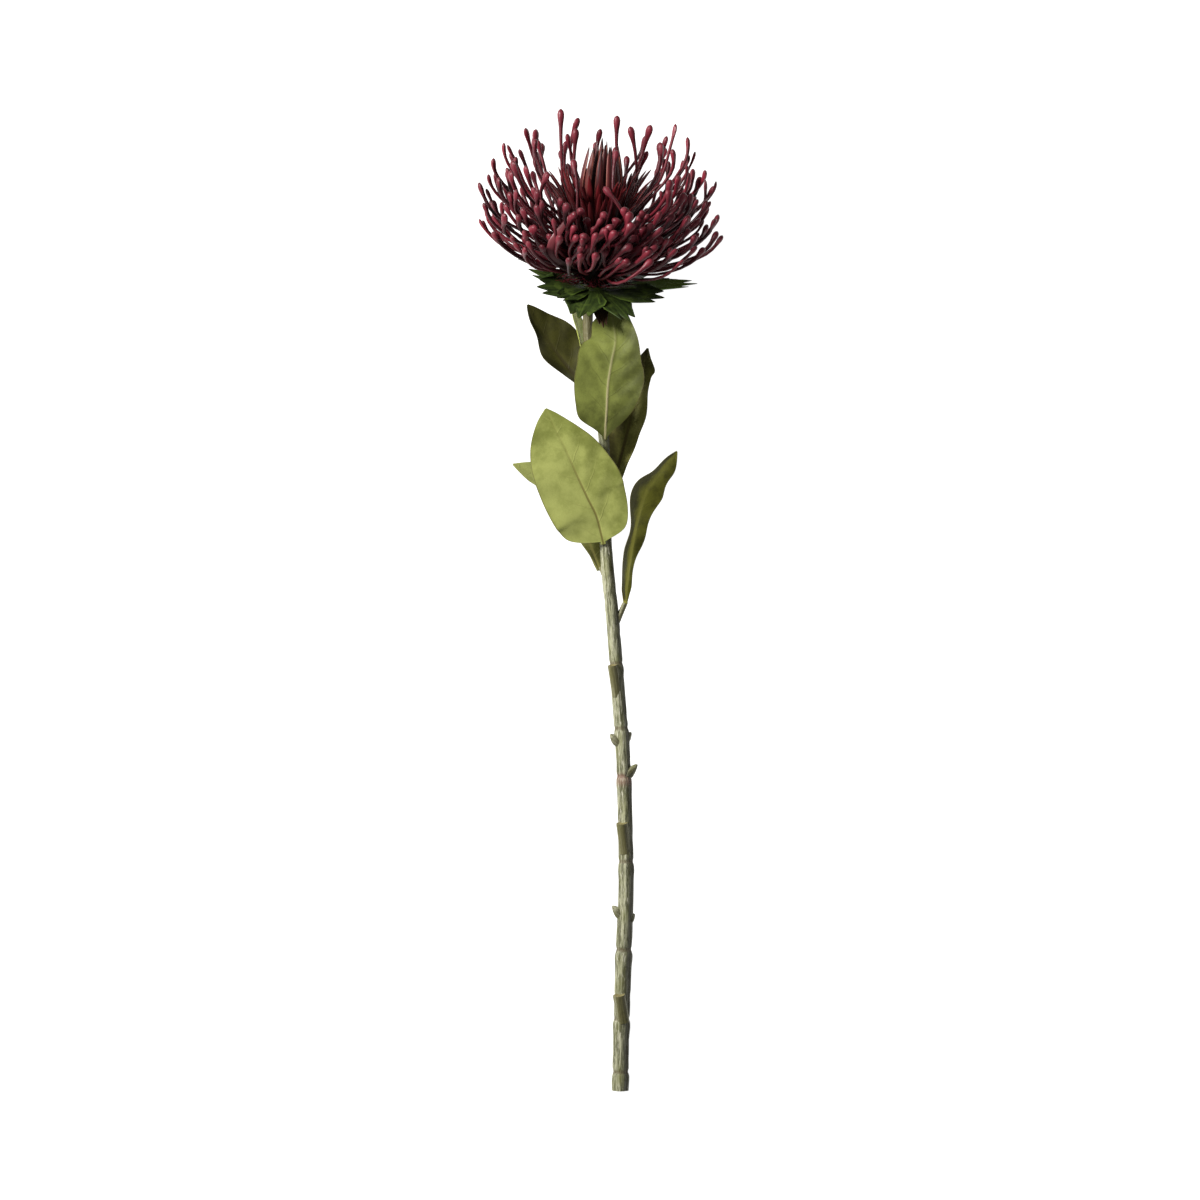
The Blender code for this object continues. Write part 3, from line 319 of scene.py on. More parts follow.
# Stray pins by points of the growing frame: two curl out in front, four stand tall behind the cone, and three
# stand up in front of it
STRAY_PINS = (
    ((-14, 474, 9), (-9, 470.5, 26), (-5, 466, 40), (1, 465.5, 49), (10, 470.5, 54), (18.5, 478, 56)),
    ((-6, 474, 8), (2, 472, 28), (9, 475, 42), (11.5, 484, 48), (7, 497, 49)),
    ((-17, 490, 7), (-27, 503, 9), (-32.5, 521, 12), (-34, 545, 16), (-34.2, 568, 18)),
    ((-10, 492, -1), (-5, 508, -8), (-1, 528, -6), (-2, 548, -2), (-1.7, 566, 2)),
    ((-5, 490, 2), (4, 506, -3), (9.5, 524, 0), (9, 543, 4), (5.8, 559, 8)),
    ((-19, 490, 2), (-25, 508, -3), (-27, 530, 0), (-25.5, 558, 6)),
    ((-18, 487, 14), (-23, 492, 30), (-24.5, 504, 37), (-24.5, 520, 39), (-27, 537, 37)),
    ((-6, 484, 16), (3, 485, 32), (6.5, 494, 42), (0, 508, 45), (-9.5, 520.5, 43)),
    ((-10, 492, 16), (-8, 499, 32), (-4.5, 513, 40), (-4, 528, 41), (-2, 542, 38)),
)
STRAY_STATIONS = (0, 0.1, 0.2, 0.3, 0.4, 0.5, 0.6, 0.7, 0.8, 0.86, 0.9, 0.935, 0.962, 0.985, 0.998)
STRAY_TONES = (0.75, 0.35)
STRAY_FATNESS = 0.1

# Fine red threads that hang from the foot of the core towards the sky side
THREAD_COUNT = 90
THREAD_SEED = 17
THREAD_RADIUS = 0.22
THREAD_PROFILE = ((0, 1), (0.35, 0.9), (0.7, 0.7), (1, 0.35))
THREAD_SET_IN = 0.6
THREAD_AZIMUTH_SPREAD = 0.85
THREAD_SWING_SPREAD = 0.25
THREAD_LATITUDE = (-62, -18)
THREAD_LENGTH = (8, 17)
THREAD_FALL = (0.2, 0.75)
THREAD_BOW = 1.6
THREAD_LOWEST = (0.6, 0.15)

# Red lobes that lean out round the middle, and two sets more against the cone: count, length, tilts at root and
# tip, seed, and the turn of the first; and a lobe's shape by share of its length, width and thickness
LOBE_SETS = ((20, 43, (72, 46), 5, 0), (26, 40, (76, 70), 9, 0.1), (22, 34, (66, 52), 21, 0.25))
LOBE_WIDTH = 4
LOBE_THICKNESS = 1.5
LOBE_ROOT_LATITUDE = math.radians(40)
LOBE_ROOT_SUNK = (2, 1.5)
LOBE_CONE_GAP = 1.6
LOBE_SHAPE = np.array((
    (0, 0.7, 1), (0.15, 0.88, 1), (0.3, 1, 1), (0.45, 1.02, 0.95), (0.6, 1, 0.9), (0.72, 0.92, 0.86),
    (0.82, 0.78, 0.8), (0.9, 0.56, 0.66), (0.96, 0.32, 0.5), (1, 0.06, 0.2)))
LOBE_COARSE = np.array((0, 0.3, 0.6, 0.85, 1))
LOBE_AZIMUTH_SPREAD = 0.04
LOBE_TILT_SPREAD = 5
LOBE_LENGTH_SPREAD = 0.08

# Two pale folded ribbons in front on the left, by points of the growing frame
RIBBONS = (
    ((-20, 485, 14), (-33, 487, 28), (-42, 493, 36), (-45, 504, 40), (-46, 517, 40)),
    ((-18, 478, 14), (-32, 476, 36), (-40.5, 481, 47), (-38, 489, 52), (-28, 504, 53)),
)
RIBBON_WIDTH = 5.4
RIBBON_THICKNESS = 1.1
RIBBON_TONE = 1.6

# Cone of closed florets: count, root radius, widest radius, tip radius, length; a floret's shape as a lobe's
FLORET_RINGS = ((11, 6.6, 11.6, 8.4, 44), (7, 3.9, 7, 4.8, 46), (3, 1.5, 2.6, 1.8, 48))
FLORET_WIDTH = 4.2
FLORET_THICKNESS = 2
FLORET_SHAPE = np.array((
    (0, 0.75, 1), (0.12, 0.82, 1), (0.25, 0.9, 1), (0.4, 0.97, 1), (0.55, 1, 1), (0.68, 0.96, 0.94),
    (0.8, 0.82, 0.84), (0.88, 0.62, 0.68), (0.94, 0.4, 0.46), (0.98, 0.2, 0.28), (1, 0.06, 0.1)))
FLORET_SEED = 11
FLORET_SPREAD = 0.03
FLORET_FOOT = 37
FLORET_DISC = ((6.8, 33), (8.3, 36), (8.3, 37.8), (7.5, 38.4))
STRAP_SIDES = 10

# Room that the cone keeps free of pins and lobes: height over the head's base, radius
CONE_ROOM = ((28, 9.2), (36, 10.2), (43, 12.4), (51, 14.4), (60, 15), (88, 15))


def length_along(path):
    """How far along a path each of its points lies."""
    return np.concatenate([[0.0], np.cumsum(np.linalg.norm(np.diff(path, axis=0), axis=1))])


def smooth_through(points, shares):
    """A Catmull-Rom curve through the points, read at shares of its length; extra columns ride along."""
    p = np.asarray(points, dtype=float)
    p = np.vstack([2 * p[0] - p[1], p, 2 * p[-1] - p[-2]])
    spans = len(p) - 3
    t = np.linspace(0.0, spans, 40 * spans + 1)
    i = np.minimum(t.astype(int), spans - 1)
    f = (t - i)[:, None]
    a, b, c, d = p[i], p[i + 1], p[i + 2], p[i + 3]
    square = 2 * a - 5 * b + 4 * c - d
    cube = 3 * b - a - 3 * c + d
    curve = 0.5 * (2 * b + (c - a) * f + square * f**2 + cube * f**3)
    run = length_along(curve[:, :3])
    return np.column_stack([np.interp(np.asarray(shares) * run[-1], run, column) for column in curve.T])


def unit(vectors):
    """Vectors scaled to length one."""
    return vectors / np.linalg.norm(vectors, axis=-1, keepdims=True)


def triple(first, second, third):
    """Three numbers at each point, spread to one layout."""
    return np.stack(np.broadcast_arrays(first, second, third), axis=-1)


def round_axis(out, azimuth, up):
    """Points by their distance from the bloom's axis, azimuth and height."""
    return triple(out * np.cos(azimuth), out * np.sin(azimuth), up)


def level_across(azimuth):
    """The level direction across each azimuth, one for a whole course."""
    return triple(-np.sin(azimuth), np.cos(azimuth), 0.0)[:, None]


def heading(angle):
    """The direction outwards and upwards that an angle gives."""
    return np.stack([np.cos(angle), np.sin(angle)], axis=-1)


def in_bloom(points):
    """Points of the growing frame as points of the bloom's own frame."""
    return (np.array(points) - HEAD_BASE) @ np.array(HEAD_TURN)


def section_frame(path, wide_hint):
    """Wide and thick directions across a path; the wide one stays as near the hint as it can."""
    tangent = unit(np.gradient(path, axis=-2))
    hint = np.broadcast_to(wide_hint, path.shape)
    wide = unit(hint - np.sum(hint * tangent, axis=-1, keepdims=True) * tangent)
    return wide, np.cross(wide, tangent)


def between(pair, share):
    """The value at a share of the way from the pair's first to its second."""
    return pair[0] + (pair[1] - pair[0]) * share


def smooth_step(value, low, high):
    """0 below low, 1 above high and an even S curve from one to the other."""
    t = np.clip((value - low) / (high - low), 0.0, 1.0)
    return t * t * (3 - 2 * t)


def ring_turns(sides, first=0.0):
    """Even turns round a ring."""
    return (np.arange(sides) + first) * FULL_TURN / sides


def oval_rings(path, wide, thick, half_wide, half_thick, turn):
    """Points of ovals round a path: middle + half_wide cos(turn) wide + half_thick sin(turn) thick."""
    across, up = (half_wide * np.cos(turn))[..., None], (half_thick * np.sin(turn))[..., None]
    return path[..., None, :] + wide[..., None, :] * across + thick[..., None, :] * up


def turned_rings(profile, sides):
    """Circles round the bloom's axis, by the profile's radius and height from the bottom up."""
    radius, height = np.array(profile).T[:, :, None]
    return round_axis(radius, -ring_turns(sides), height)[None]


def two_faces(top, bottom, side=1):
    """A flat loft's ring: the top face's points from left to right, then the bottom face's back again."""
    return np.concatenate([top, np.flip(bottom, side)], axis=side)


def lofts(rings, **marks):
    """Closed lofts from points laid out as (loft, ring, side, xyz), with each mark given for the same layout.

    Neighbouring rings are joined by four-cornered faces, and a strip of them across the ring closes each end.
    """
    count, length, sides, _ = rings.shape
    grid = np.arange(count * length * sides).reshape(count, length, sides)
    here, there = grid[:, :-1], grid[:, 1:]
    walls = np.stack([here, there, np.roll(there, -1, axis=2), np.roll(here, -1, axis=2)], axis=-1)
    k = np.arange(sides // 2 - 1)
    strip = np.stack([k, k + 1, sides - 2 - k, sides - 1 - k], axis=-1)
    ends = np.concatenate([grid[:, 0][:, strip], grid[:, -1][:, strip[:, ::-1]]]).reshape(-1, 4)
    spread = {}
    for name, values in marks.items():
        values = np.asarray(values, dtype=float)
        shape = grid.shape + (3,) if values.shape[-1:] == (3,) and values.ndim > 3 else grid.shape
        spread[name] = np.broadcast_to(values, shape).reshape((grid.size,) + shape[3:])
    return {"points": rings.reshape(-1, 3), "faces": (walls.reshape(-1, 4), ends), "marks": spread}


def add_object(name, data):
    """An object with the data, linked to the scene."""
    made = bpy.data.objects.new(name, data)
    bpy.context.scene.collection.objects.link(made)
    return made


def make_piece(name, bundles, where, finish, nodes):
    """One object at the origin from bundles of lofts, placed by its frame, in metres; it stands for the nodes."""
    points = np.concatenate([bundle["points"] for bundle in bundles]) * MM
    placed = points @ np.array(where.to_3x3()).T + np.array(where.translation)
    faces = []
    start = 0
    for bundle in bundles:
        for group in bundle["faces"]:
            faces += (group + start).tolist()
        start += len(bundle["points"])
    mesh = bpy.data.meshes.new(name)
    mesh.from_pydata(placed.tolist(), [], faces)
    for mark in bundles[0]["marks"]:
        values = np.concatenate([bundle["marks"][mark] for bundle in bundles]).astype(np.float32)
        kind, key = ("FLOAT_VECTOR", "vector") if values.ndim == 2 else ("FLOAT", "value")
        mesh.attributes.new(mark, kind, "POINT").data.foreach_set(key, values.ravel())
    mesh.shade_smooth()
    mesh.set_sharp_from_angle(angle=CREASE)
    mesh.materials.append(finish)
    piece = add_object(name, mesh)
    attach(piece, "root")
    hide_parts(*nodes)


def linear(hex_colour):
    """A screen colour such as 5e1f2b as the linear red, green, blue and alpha of a shader."""
    parts = [int(hex_colour[k:k + 2], 16) / 255.0 for k in (0, 2, 4)]
    return [c / 12.92 if c <= 0.04045 else ((c + 0.055) / 1.055) ** 2.4 for c in parts] + [1.0]


SHINE_SOCKETS = {
    "gloss": "Specular IOR Level",
    "coat": "Coat Weight",
    "coat_roughness": "Coat Roughness",
    "down": "Sheen Weight",
    "down_tint": "Sheen Tint",
    "glow": "Emission Strength",
    "glow_tint": "Emission Color",
}


class Skin:
    """The finish of one plant surface: a node material with short ways to mix its tones."""

    def __init__(self, name, roughness, **shine):
        self.material = bpy.data.materials.new(name)
        self.material.use_nodes = True
        self.tree = self.material.node_tree
        self.shader = self.tree.nodes["Principled BSDF"]
        self.shader.inputs["Roughness"].default_value = roughness
        for kind, value in shine.items():
            self.shader.inputs[SHINE_SOCKETS[kind]].default_value = value

    def add(self, kind, inputs, output=0, **settings):
        """A node with its inputs linked or set, a colour by its hex name; gives the output asked for, or all."""
        made = self.tree.nodes.new(kind)
        for setting, value in settings.items():
            setattr(made, setting, value)
        for socket, value in inputs.items():
            if isinstance(value, bpy.types.NodeSocket):
                self.tree.links.new(value, made.inputs[socket])
            else:
                made.inputs[socket].default_value = linear(value) if isinstance(value, str) else value
        return made.outputs if output is None else made.outputs[output]

    def mark(self, name):
        """A number that the mesh carries at each point."""
        return self.add("ShaderNodeAttribute", {}, "Fac", attribute_name=name)

    def place(self, name):
        """A place that the mesh carries at each point."""
        return self.add("ShaderNodeAttribute", {}, "Vector", attribute_name=name)

    def split(self, vector):
        """The three numbers of a place."""
        return self.add("ShaderNodeSeparateXYZ", {0: vector}, None)

    def maths(self, operation, *values):
        """One sum of the numbers given."""
        return self.add("ShaderNodeMath", dict(enumerate(values)), operation=operation)

    def times(self, first, second):
        """The product of two numbers."""
        return self.maths("MULTIPLY", first, second)

    def rise(self, value, low, high, start=0.0, end=1.0):
        """From start to end as the value goes from low to high, in an S curve."""
        inputs = {"Value": value, "From Min": low, "From Max": high, "To Min": start, "To Max": end}
        return self.add("ShaderNodeMapRange", inputs, interpolation_type="SMOOTHSTEP")

    def cloud(self, vector, scale, detail=4.0, roughness=0.55, stretch=None):
        """Soft noise from 0 to 1 at a scale, drawn out along the directions that the stretch makes small."""
        if stretch:
            vector = self.add("ShaderNodeMapping", {"Vector": vector, "Scale": stretch})
        inputs = {"Vector": vector, "Scale": scale, "Detail": detail, "Roughness": roughness}
        return self.add("ShaderNodeTexNoise", inputs)

    def mix(self, share, first, second):
        """The first colour turned into the second by the share."""
        return self.add("ShaderNodeMix", {0: share, 6: first, 7: second}, 2, data_type="RGBA")

    def coats(self, tone, rows):
        """The tone under thin coats: colour, what decides its strength, from where to where, and its full share."""
        for colour, value, low, high, share in rows:
            tone = self.mix(self.rise(value, low, high, 0.0, share), tone, colour)
        return tone

    def paint(self, colour):
        """Sets the surface colour."""
        self.tree.links.new(colour, self.shader.inputs["Base Color"])

    def polish(self, roughness):
        """Sets how rough the surface is from place to place."""
        self.tree.links.new(roughness, self.shader.inputs["Roughness"])

    def emboss(self, height, strength, distance):
        """Raises the surface by a pattern, with the distance in metres."""
        inputs = {"Height": height, "Strength": strength, "Distance": distance}
        self.tree.links.new(self.add("ShaderNodeBump", inputs), self.shader.inputs["Normal"])


def bark_skin():
    """Grey-green bark with pale and olive streaks, a right flank painted darker as painted shade, brown buds, a blush
    at one joint and cut olive-brown twigs.
    """
    skin = Skin("bark_skin", 0.5, gloss=0.28, coat=0.05, coat_roughness=0.4)
    grain = skin.place("grain")
    right, _, height = skin.split(grain)
    streaks = skin.cloud(grain, 0.75, 5, 0.65, (1, 1, 0.07))
    threads = skin.cloud(grain, 1.4, 4, 0.65, (1, 1, 0.1))
    patches = skin.cloud(grain, 0.16, 3, stretch=(1, 1, 0.35))
    knots = skin.cloud(grain, 0.55, 4, 0.65, (1, 1, 0.5))
    tone = skin.coats("4d4d33", (
        ("96967b", streaks, 0.4, 0.6, 1),
        ("b6b3a1", threads, 0.54, 0.7, 1),
        ("35361f", threads, 0.46, 0.32, 1),
        ("66673c", patches, 0.45, 0.7, 0.6),
        ("3f3d24", knots, 0.56, 0.72, 0.55),
        # painted shade: the right flank of the bark painted darker
        ("302e18", right, *PAINTED_SHADE_FLANK, 0.85),
        (skin.mix(streaks, "332d15", "625c34"), height, *NECK_HEIGHTS, 0.9),
        ("4a3d26", skin.mark("groove"), 0.15, 0.9, 0.6),
        ("7c5850", skin.mark("blush"), 0.1, 0.9, 0.45),
    ))
    tone = skin.mix(skin.times(skin.mark("twig"), 0.62), tone, "5e5a36")
    skin.paint(skin.coats(tone, [(skin.mix(threads, "4e4426", "8d8558"), skin.mark("cut"), 0.2, 0.8, 1)]))
    skin.polish(skin.rise(streaks, 0.3, 0.7, 0.6, 0.45))
    relief = skin.maths("ADD", streaks, skin.times(threads, 0.45))
    skin.emboss(skin.maths("MULTIPLY_ADD", knots, -0.8, relief), 0.8, 0.0008)
    return skin.material


def leaf_skin(name, look):
    """A leathery leaf: mottled tone, rib, leaning side veins, a faint net of small veins and a thin dry rim; darker
    areas that are partly its own tone and partly painted shade.

    A side vein lies where the run up the rib, less the lean and the bow outwards, is a whole number of spacings.
    """
    skin = Skin(name + "_skin", 0.55, gloss=0.16)
    blade = skin.place("blade")
    up, across, _ = skin.split(blade)
    off_rib = skin.maths("ABSOLUTE", across)
    rim = skin.mark("rim")
    mottle = skin.cloud(blade, 0.12, 4, 0.6)
    speckle = skin.cloud(blade, 1.3, 3, 0.6)
    lean = skin.maths("MULTIPLY_ADD", off_rib, -VEIN_LEAN, up)
    lean = skin.maths("MULTIPLY_ADD", skin.times(across, across), -VEIN_BOW, lean)
    lean = skin.maths("ADD", lean, skin.times(skin.cloud(blade, 0.09, 2), VEIN_WANDER))
    lean = skin.maths("MULTIPLY_ADD", skin.maths("SIGN", across), VEIN_SHIFT * look["spacing"], lean)
    vein = skin.rise(skin.maths("PINGPONG", lean, look["spacing"] / 2), 0.12, 0.6, 1, 0)
    vein = skin.times(vein, skin.rise(rim, 0.25, 0.75, 1, 0))
    net = skin.add("ShaderNodeTexVoronoi", {"Vector": blade, "Scale": 0.55}, feature="DISTANCE_TO_EDGE")
    net = skin.rise(net, 0, 0.14, 1, 0)
    rib = skin.rise(off_rib, 0.45 * look["rib_width"], 1.25 * look["rib_width"], 1, 0)
    rib = skin.times(rib, skin.rise(skin.mark("along"), 0.25, 0.85, 0.95, 0.15))
    # darker areas by halves, foot and tip: partly the leaf's own tone, partly painted shade
    depth = skin.maths("ADD", skin.mark("depth"), skin.rise(mottle, 0.3, 0.7, -0.18, 0.18))
    tone = skin.coats(look["bright"], (
        (look["deep"], depth, 0, 1, 1),
        (look["deep"], speckle, 0.5, 0.75, 0.2),
        (look["bright"], speckle, 0.45, 0.25, 0.2),
    ))
    tone = skin.mix(skin.times(net, 0.05), tone, look["vein"])
    tone = skin.mix(skin.times(vein, 0.4), tone, look["vein"])
    tone = skin.coats(skin.mix(rib, tone, look["rib"]), [("4a4020", rim, 0.965, 0.995, 0.55)])
    behind = skin.coats(look["back"], [(look["deep"], mottle, 0.3, 0.7, 1)])
    behind = skin.mix(skin.times(vein, 0.4), behind, look["bright"])
    behind = skin.mix(skin.times(rib, 0.8), behind, look["bright"])
    skin.paint(skin.mix(skin.mark("sky"), behind, tone))
    skin.polish(skin.rise(speckle, 0.3, 0.7, 0.5, 0.64))
    relief = skin.maths("MULTIPLY_ADD", vein, -0.7, skin.times(speckle, 0.5))
    skin.emboss(skin.maths("MULTIPLY_ADD", net, -0.08, relief), 0.35, 0.0003)
    return skin.material


def ruff_skin():
    """Dark green bracts with a faint rib, lighter streaks and patches, brown tooth tips and one withered bract."""
    skin = Skin("ruff_skin", 0.55, gloss=0.14)
    blade = skin.place("blade")
    _, out, _ = skin.split(blade)
    streaks = skin.cloud(blade, 0.5, 4, 0.6, (0.12, 1, 1))
    patches = skin.cloud(blade, 0.1, 3)
    rib = skin.rise(skin.maths("ABSOLUTE", out), 0.15, 0.6, 0.22, 0)
    tone = skin.coats("1a230d", (
        ("324019", streaks, 0.3, 0.75, 1),
        ("4a5922", patches, 0.48, 0.68, 0.55),
        ("0e1606", patches, 0.42, 0.3, 0.6),
        ("566f27", skin.mark("light"), 0.3, 0.9, 0.8),
    ))
    tone = skin.coats(skin.mix(rib, tone, "56692c"), (
        ("556a28", skin.mark("rim"), 0.86, 1, 0.6),
        ("241b0c", skin.mark("along"), 0.95, 1.02, 0.7),
    ))
    tone = skin.mix(skin.mark("withered"), tone, skin.mix(streaks, "1c120a", "3a2814"))
    skin.paint(skin.mix(skin.mark("sky"), skin.mix(streaks, "1d2a10", "35461c"), tone))
    skin.emboss(skin.maths("MULTIPLY_ADD", rib, -0.8, streaks), 0.6, 0.0005)
    return skin.material


def pin_skin():
    """Waxy burgundy pins: painted shade near black within the bloom, deep threads, rosier clubs, and a change from
    pin to pin.
    """
    skin = Skin("pin_skin", 0.4, gloss=0.22)
    grain, along, tone_of_pin = skin.place("grain"), skin.mark("along"), skin.mark("tone")
    streaks = skin.cloud(grain, 0.9, 3, stretch=(1, 1, 0.1))
    flecks = skin.cloud(grain, 1.6, 3, 0.65, (1, 1, 0.45))
    skin.paint(skin.coats("2c0a10", (
        ("52161f", streaks, 0.3, 0.7, 1),
        ("1a0508", flecks, 0.5, 0.75, 0.6),
        ("6c1e2a", tone_of_pin, 0.3, 1, 0.6),
        ("1d060b", tone_of_pin, 0.4, 0, 0.8),
        ("85303d", along, 0.88, 0.95, 0.35),
        ("33100f", along, 0.972, 1, 0.5),
        # painted shade: near black towards the core of the bloom
        ("080203", skin.mark("inside"), 0, 0.9, 0.95),
    )))
    skin.polish(skin.rise(streaks, 0.3, 0.7, 0.32, 0.52))
    skin.emboss(skin.maths("MULTIPLY_ADD", flecks, 0.5, streaks), 0.6, 0.0005)
    return skin.material


def lobe_skin():
    """Red straps with near black roots, as painted shade deep in the bloom, and brighter, slightly tan edges; the
    ribbons among them are paler.
    """
    skin = Skin("lobe_skin", 0.4, gloss=0.25, down=0.04, down_tint=linear("e0a0a0"))
    streaks = skin.cloud(skin.place("grain"), 0.9, stretch=(1, 1, 0.07))
    tone_of_lobe = skin.mark("tone")
    skin.paint(skin.coats("2a060a", (
        ("521016", streaks, 0.3, 0.7, 1),
        ("5e1418", tone_of_lobe, 0.5, 1, 0.6),
        ("6c2a28", skin.mark("edge"), 0.86, 1, 0.4),
        (skin.mix(streaks, "54242a", "7c3c42"), tone_of_lobe, 1.1, 1.5, 0.85),
        # painted shade: darker from the outer fifth of each strap, near black towards the root
        ("0c0203", skin.mark("along"), 0.8, 0.3, 0.95),
    )))
    skin.emboss(streaks, 0.4, 0.0003)
    return skin.material


def cone_skin():
    """Closed florets in dark red-brown, some with a tan pink flank, with painted shade near black low down between
    them and fine dark tips.
    """
    skin = Skin("cone_skin", 0.46, gloss=0.25, down=0.04, down_tint=linear("f0c0b0"))
    streaks = skin.cloud(skin.place("grain"), 0.8, stretch=(1, 1, 0.07))
    along = skin.mark("along")
    skin.paint(skin.coats("1e0608", (
        ("4a1418", streaks, 0.3, 0.7, 1),
        ("66302b", skin.mark("tone"), 0.55, 0.85, 0.5),
        ("8c5044", skin.mark("edge"), 0.72, 1, 0.7),
        ("20090a", along, 0.9, 0.98, 0.9),
        # painted shade: the lower part of each floret near black
        ("180506", along, 0.4, 0.1, 0.9),
    )))
    skin.emboss(streaks, 0.4, 0.0003)
    return skin.material


def stem_rings():
    """The bark's rings: an oval path with ridges, wrinkles, swellings under the joints and a flat cut end.

    The radius is half the diameter, times 1 + swelling, times 1 + ridges that wind slowly round the stem.
    """
    course = np.array(STEM_COURSE)
    dense = smooth_through(course[:, [1, 0, 2, 3]], np.linspace(0, 1, 400))
    heights = np.linspace(0.0, course[-1, 0], STEM_RINGS)
    right, up, to_sky, diameter = (np.interp(heights, dense[:, 1], column) for column in dense.T)
    path = np.column_stack([right, up, to_sky])
    neck_top = HEAD_BASE + np.array(HEAD_TURN @ Vector((0, 0, 1))) * NECK_TOP
    steps = np.linspace(0.0, 1.0, NECK_RINGS + 1)[1:, None]
    path = np.vstack([path, path[-1] + (neck_top - path[-1]) * steps])
    radius = np.pad(diameter / 2, (0, NECK_RINGS), "edge")
    heights = path[:, 1]
    above = heights[:, None] - np.array(STEM_JOINTS)
    swelling = JOINT_SWELL * np.exp(-(((above + JOINT_SWELL_BELOW) / JOINT_SWELL_SPREAD) ** 2)).sum(axis=1)
    groove = np.exp(-((above / JOINT_GROOVE_SPREAD) ** 2)).sum(axis=1)
    radius = radius * (1 + swelling - JOINT_GROOVE * groove)
    turn = ring_turns(STEM_SIDES, 0.5)
    up, around = np.meshgrid(heights, turn, indexing="ij")
    ridges = sum(size * np.cos(count * around + start + climb * up) for size, count, start, climb in RIDGES)
    wrinkles = sum(size * np.cos(count * around + swing * np.sin(up / length) + start)
                   for size, count, swing, length, start in WRINKLES)
    wrinkles = wrinkles * (0.6 + 0.4 * np.sin(up / 31 + 2 * around))
    dents = np.sin(up / DENT_LENGTHS[0] + 3 * np.sin(around + up / 40)) * np.sin(up / DENT_LENGTHS[1] + 2 * around)
    dents = np.maximum(dents, 0.0) ** 1.5
    reach = radius[:, None] * (1 + RIDGE_SIZE * ridges + WRINKLE_SIZE * wrinkles - DENT_SIZE * dents)
    rings = oval_rings(path, *section_frame(path, (1, 0, 0)), reach, reach, turn)
    inner = path[0] + (rings[0] - path[0]) * np.array(CUT_FACE)[:, None, None]
    faced = len(CUT_FACE)
    cut = (np.arange(faced + len(path)) < faced)[:, None]
    blush = np.exp(-(((heights - BLUSHING_JOINT + BLUSH_BELOW) / BLUSH_SPREAD) ** 2))
    blush, groove = (np.pad(values, (faced, 0))[:, None] for values in (blush, groove))
    grain = np.concatenate([inner, triple(reach * np.cos(turn), reach * np.sin(turn), up)])
    rings = np.concatenate([inner, rings])
    return lofts(rings[None], grain=grain[None], cut=cut, blush=blush, groove=groove, twig=0)


def growth_on_stem(root, tip, profile, radii, cut_row, twig):
    """A twig stub or bud: slightly ridged circles whose radius follows a profile along the line from root to tip."""
    root, tip = np.array(root), np.array(tip)
    length = np.linalg.norm(tip - root)
    line = unit(tip - root)
    share, swell = np.array(profile).T[:, :, None]
    radius = np.interp(share, (0, 1), radii) * swell
    path = root + (tip - root) * share
    hint = np.array((0.3, 0, 1))
    wide = np.broadcast_to(unit(hint - (hint @ line) * line), path.shape)
    turn = ring_turns(STUB_SIDES)
    reach = radius * (1 + STUB_RIDGES[0] * np.cos(5 * turn + root[1]) + STUB_RIDGES[1] * np.cos(9 * turn))
    rings = oval_rings(path, wide, np.cross(wide, line), reach, reach, turn)
    grain = triple(radius * np.cos(turn), radius * np.sin(turn), root[1] + share * length)
    cut = (np.arange(len(path)) >= cut_row)[:, None]
    return lofts(rings[None], grain=grain[None], cut=cut, blush=0, groove=0, twig=twig)


def make_bark():
    """The stem with its cut twigs and buds."""
    bundles = [stem_rings()]
    for root, tip, *radii in STEM_STUBS:
        bundles.append(growth_on_stem(root, tip, STUB_PROFILE, radii, STUB_CUT_ROW, 1))
    for root, tip in STEM_BUDS:
        bundles.append(growth_on_stem(root, tip, BUD_PROFILE, (BUD_RADIUS, BUD_RADIUS), len(BUD_PROFILE), BUD_TWIG))
    make_piece("stem_bark_coat", bundles, GROWING, bark_skin(), ["stem"])


def leaf_mid_surface(leaf, along, across):
    """A leaf's middle surface: out from the rib by the widths, edges raised and waved as the solid's are."""
    shares = along[:, 0]
    rib_points, widths, turns, cup, (height, count, phase) = leaf
    rib = smooth_through(rib_points, shares)
    tangent = unit(np.gradient(rib, axis=0))
    right = unit(np.cross(tangent, (0, 0, 1)))
    face = np.cross(right, tangent)
    turn = np.radians(np.interp(shares, (0, 1), turns))[:, None]
    side = right * np.cos(turn) - face * np.sin(turn)
    normal = face * np.cos(turn) + right * np.sin(turn)
    dense = smooth_through(widths, np.linspace(0, 1, 300))
    left_width, right_width = (np.interp(shares, dense[:, 0], dense[:, k])[:, None] for k in (1, 2))
    width = np.where(across < 0, left_width, right_width)
    waves = FULL_TURN * count * along + phase + LEAF_SIDE_PHASE * np.sign(across)
    wave = height * np.sin(waves) * np.abs(across) ** 1.5
    wave = wave * np.sin(math.pi * np.clip(along, 0.0, 1.0)) ** 0.5
    lift = cup * width * across**2 + wave
    points = rib[:, None] + side[:, None] * (width * across)[:, :, None] + normal[:, None] * lift[:, :, None]
    return points, length_along(rib)[:, None] + 0 * across, width * across, tangent[0]


